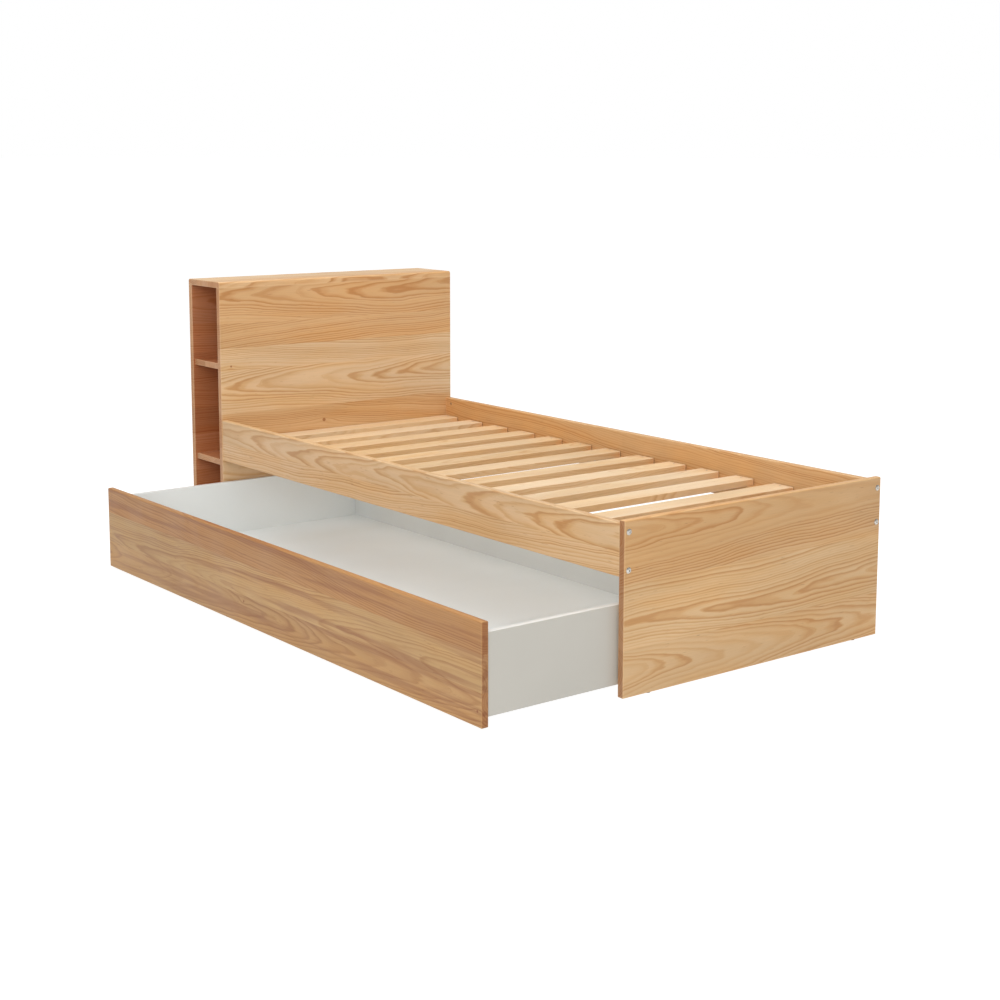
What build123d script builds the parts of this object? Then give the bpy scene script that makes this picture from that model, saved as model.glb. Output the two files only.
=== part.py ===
from build123d import *
import os

os.makedirs("parts", exist_ok=True)

# A pine single bed with a shelved headboard and a full-length drawer on castors.
# Millimetres, +Z up. +X runs along the bed towards the foot, the drawer pulls out along -Y,
# and the origin is on the floor at the middle of the bed with its drawer drawn out.

# ---------------------------------------------------------------- frame sizes
BED_WIDTH = 944.0          # width of headboard and footboard
INNER_LENGTH = 2010.0      # clear length between headboard and footboard
BOARD = 20.0               # thickness of every glued pine board of the frame
GLIDE_HEIGHT = 3.0         # plastic glides that hold the panels off the floor

HEADBOARD_DEPTH = 215.0
HEADBOARD_TOP = 905.0
UPPER_SHELF_TOP = 631.0
LOWER_SHELF_TOP = 305.0
BASE_SHELF_TOP = 30.0
SHELF_RECESS = 8.0         # shelf ends stand back from the panel edges

FOOTBOARD_TOP = 450.0

RAIL_TOP = 442.0
RAIL_HEIGHT = 136.0
RAIL_INSET = 2.0           # outer rail face behind the panel edges

SLAT_TOP = 377.0
SLAT_WIDTH = 75.0
SLAT_THICKNESS = 20.0
SLAT_END_GAP = 4.0         # slat end to rail
SLAT_HEAD_MARGIN = 40.0    # headboard face to the middle of the first slat
SLAT_PITCH = 150.0
SLAT_SHIFTS = (0, 1, -2, 0, -1, 1, -4, 6, 2, -3, -7, 2, 0)  # each slat off its even place

LEDGE_WIDTH = 30.0
LEDGE_HEIGHT = 35.0

# ---------------------------------------------------------------- drawer sizes
DRAWER_OUT = 416.0         # drawer face in front of the panel edges, as drawn out
DRAWER_FRONT_BOTTOM = 7.0
DRAWER_FRONT_HEIGHT = 256.0
DRAWER_FRONT_GAP = 4.0     # drawer front to headboard, and to footboard
DRAWER_BODY_STEP = 4.0     # drawer ends stand in from the ends of the front
DRAWER_BODY_BOTTOM = 31.0
DRAWER_BODY_HEIGHT = 204.0
DRAWER_BOARD = 16.0        # melamine-faced board of the drawer body

# ---------------------------------------------------------------- castor sizes
WHEEL_RADIUS = 18.0
WHEEL_WIDTH = 20.0
WHEEL_HUB_PROUD = 1.0
WHEEL_TOP_CLEARANCE = 6.0  # wheel to the plate above it
AXLE_RADIUS = 3.0
AXLE_RUNNING_GAP = 0.08
PLATE = 2.0                # sheet steel of the castor housings
PLATE_SIZE = 56.0
FORK_WIDTH_CLEARANCE = 0.6
WHEEL_HUB_WALL = 3.0       # flat ring round the wheel's bore
WHEEL_HUB_SLOPE = 2.0      # radial width of the slope from hub to web
WHEEL_WEB_RECESS = 3.0     # web behind the hub's end face
WHEEL_RIM_WALL = 4.0       # radial wall of the tread
WHEEL_TREAD_SHOULDER = 5.0  # tread's flat stops this far from the hub's end face
FORK_CHEEK = 26.0          # width of a fork cheek at the plate
FORK_CHEEK_TAPER = 4.0     # a cheek narrows this much on each side down to the axle
PLATE_CORNER = 5.0         # corner radius of the castor plate
PLATE_SCREW_EDGE = 7.0     # plate screw from the plate's edges
AXLE_HEAD = 0.9            # thickness of the riveted axle heads
AXLE_HEAD_PROUD = 1.2      # axle heads past the axle's radius
AXLE_END_PROUD = 1.0       # each end of the axle beyond the fork
CASTOR_FRONT_SETBACK = 62.0
CASTOR_END_SETBACK = 120.0

# ---------------------------------------------------------------- edges and fittings
EDGE_ROUND = 4.0
TOP_BOARD_ROUND = 8.0
SLAT_ROUND = 2.0
LAMINATE_ROUND = 1.0

FIT = 0.1                  # radial room round a pin, dowel or screw in its hole

BOLT_RADIUS = 3.0
BOLT_LENGTH = 62.0
BOLT_HEAD_RADIUS = 8.0
BOLT_HEAD_HEIGHT = 3.0
BOLT_HEAD_RIM = 1.0
BOLT_SOCKET_RADIUS = 2.9
BOLT_FLAT_RADIUS = 3.6     # flat ring round the socket
BOLT_SOCKET_DEPTH = 1.8
BOLT_TIP = 0.8             # chamfer of the bolt's end
BOLT_EDGE = 14.0           # bolt axis from the panel edge
BOLT_DROP = 21.0           # upper bolt below the rail top
BOLT_SPACING = 96.0
NUT_RADIUS = 5.0
NUT_LENGTH = 14.0
NUT_DEPTH = 32.0           # nut axis from the rail end
NUT_CHAMFER = 0.6

DOWEL_RADIUS = 4.0
DOWEL_LENGTH = 30.0
DOWEL_IN_FACE = 12.0       # length of a dowel that sits in a panel's face
DOWEL_HOLE_EXTRA = 1.0     # a blind hole is this much deeper than what it holds
DOWEL_CHAMFER = 1.0

CAM_RADIUS = 7.5
CAM_SETBACK = 24.0         # cam axis from the edge that it pulls up
CAM_BOLT_RADIUS = 3.5
CAM_BOLT_IN_FACE = 11.0
CAM_BOLT_PAST_CAM = 2.0    # bolt head beyond the cam's axis
CAM_BOLT_THREAD = 0.5      # threaded end is this much slimmer than the shank
CAM_BOLT_NECK = 1.5        # neck behind the head is this much slimmer
CAM_BOLT_HEAD = 4.0        # length of the head with its cones
CAM_BOLT_CONE = 1.0
CAM_MOUTH = 0.3            # radial room round the bolt in the cam
CAM_SLOT = 9.0             # cross recess for the driver
CAM_SLOT_WIDTH = 1.6
CAM_SLOT_DEPTH = 2.5
CAM_EDGE = 0.4

SCREW_HEAD_RADIUS = 3.6
SCREW_RADIUS = 1.9
SCREW_RECESS = 0.7         # width of the cross recess in a screw head
SCREW_RECESS_DEPTH = 0.9
SCREW_POINT = 3.0          # length of a wood screw's point
SCREW_POINT_RADIUS = 0.3
LEDGE_SCREW_SHARE = 0.6    # slat screws across the ledge, from the rail
SLAT_SCREW_LENGTH = 30.0
LEDGE_SCREW_LENGTH = 44.0
LEDGE_SCREW_COUNT = 8
LEDGE_SCREW_HEIGHT = 11.0
SMALL_SCREW_LENGTH = 12.0
SMALL_SCREW_RADIUS = 1.5
SMALL_SCREW_HEAD_RADIUS = 3.0
SMALL_SCREW_HEAD_HEIGHT = 1.6
SMALL_SCREW_HEAD_ROUND = 1.0

GLIDE_RADIUS = 8.0
GLIDE_PIN_RADIUS = 1.5
GLIDE_PIN_LENGTH = 12.0
GLIDE_MARGIN = 90.0        # glide to the panel's vertical edge
GLIDE_ROUND = 1.0

BRACKET_LENGTH = 20.0
BRACKET_LEG = 20.0
BRACKET_DROP = 12.0
BRACKET_SHEET = 1.5
BRACKET_REACH_SHARE = 0.6  # floor screw along the bracket's leg
BRACKET_DROP_SHARE = 0.55  # wall screw down the bracket's other leg

# ---------------------------------------------------------------- derived places
TOTAL_LENGTH = HEADBOARD_DEPTH + INNER_LENGTH + BOARD + BOLT_HEAD_HEIGHT
HEAD_BACK_X = -TOTAL_LENGTH / 2
HEAD_FACE_X = HEAD_BACK_X + HEADBOARD_DEPTH
FOOT_FACE_X = HEAD_FACE_X + INNER_LENGTH
FOOT_OUTER_X = FOOT_FACE_X + BOARD

FAR_Y = (BED_WIDTH + DRAWER_OUT) / 2
NEAR_Y = FAR_Y - BED_WIDTH
MIDDLE_Y = (NEAR_Y + FAR_Y) / 2

RAIL_BOTTOM = RAIL_TOP - RAIL_HEIGHT
NEAR_RAIL_INNER_Y = NEAR_Y + RAIL_INSET + BOARD
FAR_RAIL_INNER_Y = FAR_Y - RAIL_INSET - BOARD

SLAT_BOTTOM = SLAT_TOP - SLAT_THICKNESS
LEDGE_BOTTOM = SLAT_BOTTOM - LEDGE_HEIGHT
SLAT_COUNT = int((INNER_LENGTH - SLAT_HEAD_MARGIN - SLAT_WIDTH / 2) // SLAT_PITCH) + 1
SLAT_CENTRES = [
    HEAD_FACE_X + SLAT_HEAD_MARGIN + SLAT_PITCH * index + SLAT_SHIFTS[index % len(SLAT_SHIFTS)]
    for index in range(SLAT_COUNT)
]

CAM_LENGTH = BOARD / 2 + CAM_BOLT_RADIUS
BACK_PANEL_INNER_X = HEAD_BACK_X + BOARD
FRONT_PANEL_INNER_X = HEAD_FACE_X - BOARD
PANEL_TOP = HEADBOARD_TOP - BOARD

DRAWER_DEPTH = BED_WIDTH - 2 * RAIL_INSET  # closed, it runs under both rails
DRAWER_FACE_Y = NEAR_Y - DRAWER_OUT
DRAWER_FRONT_BACK_Y = DRAWER_FACE_Y + BOARD
DRAWER_BACK_Y = DRAWER_FACE_Y + DRAWER_DEPTH
DRAWER_BACK_INNER_Y = DRAWER_BACK_Y - DRAWER_BOARD
DRAWER_HEAD_X = HEAD_FACE_X + DRAWER_FRONT_GAP
DRAWER_FOOT_X = FOOT_FACE_X - DRAWER_FRONT_GAP
BODY_HEAD_X = DRAWER_HEAD_X + DRAWER_BODY_STEP
BODY_FOOT_X = DRAWER_FOOT_X - DRAWER_BODY_STEP
BODY_HEAD_INNER_X = BODY_HEAD_X + DRAWER_BOARD
BODY_FOOT_INNER_X = BODY_FOOT_X - DRAWER_BOARD
DRAWER_FLOOR_BOTTOM = 2 * WHEEL_RADIUS + WHEEL_TOP_CLEARANCE + PLATE
DRAWER_FLOOR_TOP = DRAWER_FLOOR_BOTTOM + DRAWER_BOARD
DRAWER_BODY_TOP = DRAWER_BODY_BOTTOM + DRAWER_BODY_HEIGHT

RAIL_SIDES = (
    # rail outer face, rail inner face, direction from the rail towards the mattress
    (NEAR_Y + RAIL_INSET, NEAR_RAIL_INNER_Y, 1),
    (FAR_Y - RAIL_INSET, FAR_RAIL_INNER_Y, -1),
)
BOLT_YS = (NEAR_Y + BOLT_EDGE, FAR_Y - BOLT_EDGE)
BOLT_ZS = (RAIL_TOP - BOLT_DROP, RAIL_TOP - BOLT_DROP - BOLT_SPACING)
RAIL_DOWEL_Z = sum(BOLT_ZS) / 2

SHELF_TOPS = {
    "headboard_upper_shelf": UPPER_SHELF_TOP,
    "headboard_lower_shelf": LOWER_SHELF_TOP,
    "headboard_base_shelf": BASE_SHELF_TOP,
}
SHELF_SPAN = BED_WIDTH - 2 * SHELF_RECESS
SHELF_DOWEL_YS = [MIDDLE_Y + share * SHELF_SPAN for share in (-0.42, 0, 0.42)]
SHELF_CAM_YS = [MIDDLE_Y + share * SHELF_SPAN for share in (-0.3, 0.3)]

CASTOR_XS = (
    BODY_HEAD_INNER_X + CASTOR_END_SETBACK,
    (BODY_HEAD_INNER_X + BODY_FOOT_INNER_X) / 2,
    BODY_FOOT_INNER_X - CASTOR_END_SETBACK,
)
CASTOR_YS = (DRAWER_FRONT_BACK_Y + CASTOR_FRONT_SETBACK, DRAWER_BACK_INNER_Y - CASTOR_FRONT_SETBACK)
CASTOR_PLACES = [(x, y) for x in CASTOR_XS for y in CASTOR_YS]
FORK_INNER = WHEEL_WIDTH / 2 + FORK_WIDTH_CLEARANCE
AXLE_LENGTH = 2 * (FORK_INNER + PLATE + AXLE_END_PROUD)


# ---------------------------------------------------------------- helpers
def save(builder, name):
    """Label a finished piece and write it under its own name."""
    builder.part.label = name
    export_step(builder.part, f"parts/{name}.step")


def block(x, y, z):
    """Add a square-edged board that fills three (low, high) spans."""
    with Locations((sum(x) / 2, sum(y) / 2, sum(z) / 2)):
        Box(x[1] - x[0], y[1] - y[0], z[1] - z[0])


def mouths(points, outward):
    """Planes at hole mouths or fastener heads, all facing one way."""
    return [Plane(origin=point, z_dir=outward) for point in points]


def drill(points, outward, radius, depth):
    """Cut plain round holes into the part being built."""
    if points:
        with Locations(*mouths(points, outward)):
            Hole(radius, depth)


def place(copies, points, outward):
    """Add one copy of a fastener at every point of the part being built."""
    with Locations(*mouths(points, outward)):
        add(copies)


# ---------------------------------------------------------------- fasteners, each along Z
def make_bolt():
    """Domed socket bolt: seat at Z 0, shank downwards."""
    with BuildPart() as bolt:
        with BuildSketch(Plane.XZ):
            with BuildLine():
                Polyline(
                    (BOLT_FLAT_RADIUS, BOLT_HEAD_HEIGHT),
                    (0, BOLT_HEAD_HEIGHT),
                    (0, -BOLT_LENGTH),
                    (BOLT_RADIUS - BOLT_TIP, -BOLT_LENGTH),
                    (BOLT_RADIUS, -BOLT_LENGTH + BOLT_TIP),
                    (BOLT_RADIUS, 0),
                    (BOLT_HEAD_RADIUS, 0),
                    (BOLT_HEAD_RADIUS, BOLT_HEAD_RIM),
                )
                TangentArc(
                    (BOLT_FLAT_RADIUS, BOLT_HEAD_HEIGHT),
                    (BOLT_HEAD_RADIUS, BOLT_HEAD_RIM),
                    tangent=(1, 0),
                )
            make_face()
        revolve(axis=Axis.Z)
        with BuildSketch(Plane.XY.offset(BOLT_HEAD_HEIGHT)):
            RegularPolygon(BOLT_SOCKET_RADIUS, 6)
        extrude(amount=-BOLT_SOCKET_DEPTH, mode=Mode.SUBTRACT)
    return bolt.part


def make_nut():
    """Barrel nut: its axis on Z, its cross hole along X."""
    with BuildPart() as nut:
        Cylinder(NUT_RADIUS, NUT_LENGTH)
        chamfer(nut.edges().filter_by(GeomType.CIRCLE), NUT_CHAMFER)
        with Locations(Plane(origin=(NUT_RADIUS, 0, 0), z_dir=(1, 0, 0))):
            Hole(BOLT_RADIUS + FIT, 2 * NUT_RADIUS)
    return nut.part


def make_dowel():
    """Fluted wooden dowel, drawn plain: mouth of its shallow hole at Z 0, deep end upwards."""
    with BuildPart() as dowel:
        with Locations((0, 0, DOWEL_LENGTH / 2 - DOWEL_IN_FACE)):
            Cylinder(DOWEL_RADIUS, DOWEL_LENGTH)
        chamfer(dowel.edges().filter_by(GeomType.CIRCLE), DOWEL_CHAMFER)
    return dowel.part


def make_cam_bolt():
    """Cam bolt: panel face at Z 0, threaded end below, head in the cam above."""
    head = CAM_SETBACK + CAM_BOLT_PAST_CAM
    with BuildPart() as bolt:
        with BuildSketch(Plane.XZ):
            with BuildLine():
                Polyline(
                    (0, -CAM_BOLT_IN_FACE),
                    (CAM_BOLT_RADIUS - 2 * CAM_BOLT_THREAD, -CAM_BOLT_IN_FACE),
                    (CAM_BOLT_RADIUS - CAM_BOLT_THREAD, 0),
                    (CAM_BOLT_RADIUS, 0),
                    (CAM_BOLT_RADIUS, CAM_SETBACK - CAM_RADIUS - CAM_BOLT_CONE),
                    (CAM_BOLT_RADIUS - CAM_BOLT_NECK, CAM_SETBACK - CAM_RADIUS),
                    (CAM_BOLT_RADIUS - CAM_BOLT_NECK, head - CAM_BOLT_HEAD),
                    (CAM_BOLT_RADIUS - CAM_MOUTH, head - CAM_BOLT_HEAD + CAM_BOLT_CONE),
                    (CAM_BOLT_RADIUS - CAM_MOUTH, head - CAM_BOLT_CONE),
                    (CAM_BOLT_RADIUS - CAM_MOUTH - CAM_BOLT_CONE, head),
                    (0, head),
                    (0, -CAM_BOLT_IN_FACE),
                )
            make_face()
        revolve(axis=Axis.Z)
    return bolt.part


def make_cam():
    """Cam disc: its open face at Z 0 and the rest below, its bolt entering along -X."""
    with BuildPart() as cam:
        with Locations((0, 0, -CAM_LENGTH / 2)):
            Cylinder(CAM_RADIUS, CAM_LENGTH)
        with Locations(Plane(origin=(-CAM_RADIUS, 0, -BOARD / 2), z_dir=(-1, 0, 0))):
            Hole(CAM_BOLT_RADIUS + CAM_MOUTH, CAM_RADIUS + CAM_BOLT_HEAD)
        with BuildSketch(Plane.XY):
            Rectangle(CAM_SLOT, CAM_SLOT_WIDTH)
            Rectangle(CAM_SLOT_WIDTH, CAM_SLOT)
        extrude(amount=-CAM_SLOT_DEPTH, mode=Mode.SUBTRACT)
        fillet(cam.edges().filter_by(GeomType.CIRCLE).group_by(Axis.Z)[-1], CAM_EDGE)
    return cam.part


def make_wood_screw(length):
    """Countersunk cross-recess screw: flat head top at Z 0."""
    with BuildPart() as screw:
        with BuildSketch(Plane.XZ):
            with BuildLine():
                Polyline(
                    (0, 0),
                    (SCREW_HEAD_RADIUS, 0),
                    (SCREW_RADIUS, SCREW_RADIUS - SCREW_HEAD_RADIUS),
                    (SCREW_RADIUS, -length + SCREW_POINT),
                    (SCREW_POINT_RADIUS, -length),
                    (0, -length),
                    (0, 0),
                )
            make_face()
        revolve(axis=Axis.Z)
        with BuildSketch(Plane.XY):
            Rectangle(SCREW_HEAD_RADIUS, SCREW_RECESS)
            Rectangle(SCREW_RECESS, SCREW_HEAD_RADIUS)
        extrude(amount=-SCREW_RECESS_DEPTH, mode=Mode.SUBTRACT)
    return screw.part


def make_small_screw():
    """Pan-head screw for thin steel: seat at Z 0, shank downwards."""
    with BuildPart() as screw:
        with Locations((0, 0, SMALL_SCREW_HEAD_HEIGHT / 2)):
            Cylinder(SMALL_SCREW_HEAD_RADIUS, SMALL_SCREW_HEAD_HEIGHT)
        fillet(screw.edges().filter_by(GeomType.CIRCLE).group_by(Axis.Z)[-1], SMALL_SCREW_HEAD_ROUND)
        with Locations((0, 0, -SMALL_SCREW_LENGTH / 2)):
            Cylinder(SMALL_SCREW_RADIUS, SMALL_SCREW_LENGTH)
        with BuildSketch(Plane.XY.offset(SMALL_SCREW_HEAD_HEIGHT)):
            Rectangle(SMALL_SCREW_HEAD_RADIUS, SCREW_RECESS)
            Rectangle(SCREW_RECESS, SMALL_SCREW_HEAD_RADIUS)
        extrude(amount=-SCREW_RECESS_DEPTH, mode=Mode.SUBTRACT)
    return screw.part


BOLT = make_bolt()
DOWEL = make_dowel()
CAM = make_cam()
CAM_BOLT = make_cam_bolt()
SLAT_SCREW = make_wood_screw(SLAT_SCREW_LENGTH)
LEDGE_SCREW = make_wood_screw(LEDGE_SCREW_LENGTH)
SMALL_SCREW = make_small_screw()


# ---------------------------------------------------------------- places of the fittings
FOOT_BOLT_SEATS = [(FOOT_OUTER_X, y, z) for y in BOLT_YS for z in BOLT_ZS]
HEAD_BOLT_SEATS = [(FRONT_PANEL_INNER_X, y, z) for y in BOLT_YS for z in BOLT_ZS]
RAIL_DOWEL_YS = [(outer + inner) / 2 for outer, inner, inward in RAIL_SIDES]
FOOT_RAIL_DOWELS = [(FOOT_FACE_X, y, RAIL_DOWEL_Z) for y in RAIL_DOWEL_YS]
HEAD_RAIL_DOWELS = [(HEAD_FACE_X, y, RAIL_DOWEL_Z) for y in RAIL_DOWEL_YS]

SHELF_MIDDLES = [top - BOARD / 2 for top in SHELF_TOPS.values()]
BACK_FACE_DOWELS = [(BACK_PANEL_INNER_X, y, z) for y in SHELF_DOWEL_YS for z in SHELF_MIDDLES]
FRONT_FACE_DOWELS = [(FRONT_PANEL_INNER_X, y, z) for y in SHELF_DOWEL_YS for z in SHELF_MIDDLES]
BACK_FACE_CAMS = [(BACK_PANEL_INNER_X, y, z) for y in SHELF_CAM_YS for z in SHELF_MIDDLES]
FRONT_FACE_CAMS = [(FRONT_PANEL_INNER_X, y, z) for y in SHELF_CAM_YS for z in SHELF_MIDDLES]
PANEL_MIDDLE_XS = (HEAD_BACK_X + BOARD / 2, HEAD_FACE_X - BOARD / 2)
TOP_DOWELS = [(x, y, PANEL_TOP) for x in PANEL_MIDDLE_XS for y in SHELF_DOWEL_YS]
TOP_CAMS = [(x, y, PANEL_TOP) for x in PANEL_MIDDLE_XS for y in SHELF_CAM_YS]


def glide_points(x):
    """Where the two glides of an upright panel sit, under its lower edge."""
    return [(x, NEAR_Y + GLIDE_MARGIN, GLIDE_HEIGHT), (x, FAR_Y - GLIDE_MARGIN, GLIDE_HEIGHT)]


GLIDE_POINTS = [
    point
    for x in (*PANEL_MIDDLE_XS, FOOT_FACE_X + BOARD / 2)
    for point in glide_points(x)
]


def drill_panel_foot(x):
    """Cut the glide pin holes into an upright panel."""
    drill(glide_points(x), (0, 0, -1), GLIDE_PIN_RADIUS + FIT, GLIDE_PIN_LENGTH + DOWEL_HOLE_EXTRA)


def drill_panel_face(dowels, cams, outward):
    """Cut a headboard panel's holes for the shelf dowels and the cam bolts."""
    drill(dowels, outward, DOWEL_RADIUS + FIT, DOWEL_IN_FACE + DOWEL_HOLE_EXTRA)
    drill(cams, outward, CAM_BOLT_RADIUS - CAM_BOLT_THREAD + FIT, CAM_BOLT_IN_FACE + FIT)


def drill_panel_top(x, inward):
    """Cut a headboard panel's upper edge for the dowels, cam bolts and cams of the top board."""
    dowels = [point for point in TOP_DOWELS if point[0] == x]
    cams = [point for point in TOP_CAMS if point[0] == x]
    drill(dowels, (0, 0, 1), DOWEL_RADIUS + FIT, DOWEL_LENGTH - DOWEL_IN_FACE + DOWEL_HOLE_EXTRA)
    drill(cams, (0, 0, 1), CAM_BOLT_RADIUS + FIT, CAM_SETBACK + CAM_BOLT_PAST_CAM + DOWEL_HOLE_EXTRA)
    pockets = [(x + inward * BOARD / 2, y, PANEL_TOP - CAM_SETBACK) for x, y, z in cams]
    drill(pockets, (inward, 0, 0), CAM_RADIUS + FIT, CAM_LENGTH + FIT)


# ---------------------------------------------------------------- headboard box
with BuildPart() as headboard_front_panel:
    block((FRONT_PANEL_INNER_X, HEAD_FACE_X), (NEAR_Y, FAR_Y), (GLIDE_HEIGHT, PANEL_TOP))
    fillet(headboard_front_panel.edges().filter_by(Axis.Z), EDGE_ROUND / 2)
    drill(HEAD_BOLT_SEATS, (-1, 0, 0), BOLT_RADIUS + FIT, BOARD)
    drill(HEAD_RAIL_DOWELS, (1, 0, 0), DOWEL_RADIUS + FIT, DOWEL_IN_FACE + DOWEL_HOLE_EXTRA)
    drill_panel_face(FRONT_FACE_DOWELS, FRONT_FACE_CAMS, (-1, 0, 0))
    drill_panel_top(PANEL_MIDDLE_XS[1], -1)
    drill_panel_foot(PANEL_MIDDLE_XS[1])
save(headboard_front_panel, "headboard_front_panel")

with BuildPart() as headboard_back_panel:
    block((HEAD_BACK_X, BACK_PANEL_INNER_X), (NEAR_Y, FAR_Y), (GLIDE_HEIGHT, PANEL_TOP))
    fillet(headboard_back_panel.edges().filter_by(Axis.Z), EDGE_ROUND / 2)
    drill_panel_face(BACK_FACE_DOWELS, BACK_FACE_CAMS, (1, 0, 0))
    drill_panel_top(PANEL_MIDDLE_XS[0], 1)
    drill_panel_foot(PANEL_MIDDLE_XS[0])
save(headboard_back_panel, "headboard_back_panel")

with BuildPart() as headboard_top_board:
    block((HEAD_BACK_X, HEAD_FACE_X), (NEAR_Y, FAR_Y), (PANEL_TOP, HEADBOARD_TOP))
    long_edges = headboard_top_board.edges().filter_by(Axis.Y).group_by(Axis.Z)[-1]
    fillet(long_edges, TOP_BOARD_ROUND)
    end_edges = headboard_top_board.faces().filter_by(Axis.Y).edges().group_by(Axis.Z)[-1]
    fillet(end_edges, EDGE_ROUND / 2)
    drill(TOP_DOWELS, (0, 0, -1), DOWEL_RADIUS + FIT, DOWEL_IN_FACE + DOWEL_HOLE_EXTRA)
    drill(TOP_CAMS, (0, 0, -1), CAM_BOLT_RADIUS - CAM_BOLT_THREAD + FIT, CAM_BOLT_IN_FACE + FIT)
save(headboard_top_board, "headboard_top_board")

for shelf_name, shelf_top in SHELF_TOPS.items():
    shelf_middle = shelf_top - BOARD / 2
    with BuildPart() as shelf:
        block(
            (BACK_PANEL_INNER_X, FRONT_PANEL_INNER_X),
            (NEAR_Y + SHELF_RECESS, FAR_Y - SHELF_RECESS),
            (shelf_top - BOARD, shelf_top),
        )
        fillet(shelf.faces().filter_by(Axis.Y).edges().filter_by(Axis.X), EDGE_ROUND / 2)
        for edge_x, outward_x in ((BACK_PANEL_INNER_X, -1), (FRONT_PANEL_INNER_X, 1)):
            drill(
                [(edge_x, y, shelf_middle) for y in SHELF_DOWEL_YS],
                (outward_x, 0, 0),
                DOWEL_RADIUS + FIT,
                DOWEL_LENGTH - DOWEL_IN_FACE + DOWEL_HOLE_EXTRA,
            )
            drill(
                [(edge_x, y, shelf_middle) for y in SHELF_CAM_YS],
                (outward_x, 0, 0),
                CAM_BOLT_RADIUS + FIT,
                CAM_SETBACK + CAM_BOLT_PAST_CAM + DOWEL_HOLE_EXTRA,
            )
            drill(
                [(edge_x - outward_x * CAM_SETBACK, y, shelf_top - BOARD) for y in SHELF_CAM_YS],
                (0, 0, -1),
                CAM_RADIUS + FIT,
                CAM_LENGTH + FIT,
            )
    save(shelf, shelf_name)

with BuildPart() as box_dowels:
    place(DOWEL, BACK_FACE_DOWELS, (1, 0, 0))
    place(DOWEL, FRONT_FACE_DOWELS, (-1, 0, 0))
    place(DOWEL, TOP_DOWELS, (0, 0, -1))
save(box_dowels, "box_dowels")

with BuildPart() as cam_bolts:
    place(CAM_BOLT, BACK_FACE_CAMS, (1, 0, 0))
    place(CAM_BOLT, FRONT_FACE_CAMS, (-1, 0, 0))
    place(CAM_BOLT, TOP_CAMS, (0, 0, -1))
save(cam_bolts, "cam_bolts")


def cam_plane(point, bolt_way, open_way):
    """Place of a cam: its open face outwards, its bolt coming from the panel or board face."""
    origin = Vector(*point) + Vector(*bolt_way) * CAM_SETBACK + Vector(*open_way) * (BOARD / 2)
    return Plane(origin=origin, x_dir=bolt_way, z_dir=open_way)


with BuildPart() as cam_locks:
    shelf_cams = [cam_plane(point, (1, 0, 0), (0, 0, -1)) for point in BACK_FACE_CAMS]
    shelf_cams += [cam_plane(point, (-1, 0, 0), (0, 0, -1)) for point in FRONT_FACE_CAMS]
    back_top_cams = [point for point in TOP_CAMS if point[0] == PANEL_MIDDLE_XS[0]]
    front_top_cams = [point for point in TOP_CAMS if point[0] == PANEL_MIDDLE_XS[1]]
    panel_cams = [cam_plane(point, (0, 0, -1), (1, 0, 0)) for point in back_top_cams]
    panel_cams += [cam_plane(point, (0, 0, -1), (-1, 0, 0)) for point in front_top_cams]
    with Locations(*shelf_cams, *panel_cams):
        add(CAM)
save(cam_locks, "cam_locks")

# ---------------------------------------------------------------- footboard, rails and ledges
with BuildPart() as footboard:
    block((FOOT_FACE_X, FOOT_OUTER_X), (NEAR_Y, FAR_Y), (GLIDE_HEIGHT, FOOTBOARD_TOP))
    fillet(footboard.edges().filter_by(Axis.Y).group_by(Axis.Z)[-1], EDGE_ROUND)
    fillet(footboard.edges().filter_by(Axis.Z), EDGE_ROUND / 2)
    drill(FOOT_BOLT_SEATS, (1, 0, 0), BOLT_RADIUS + FIT, BOARD)
    drill(FOOT_RAIL_DOWELS, (-1, 0, 0), DOWEL_RADIUS + FIT, DOWEL_IN_FACE + DOWEL_HOLE_EXTRA)
    drill_panel_foot(FOOT_FACE_X + BOARD / 2)
save(footboard, "footboard")

LEDGE_SCREW_XS = [
    HEAD_FACE_X + INNER_LENGTH * (index + 0.5) / LEDGE_SCREW_COUNT
    for index in range(LEDGE_SCREW_COUNT)
]
LEDGE_SCREW_Z = LEDGE_BOTTOM + LEDGE_SCREW_HEIGHT

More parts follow.
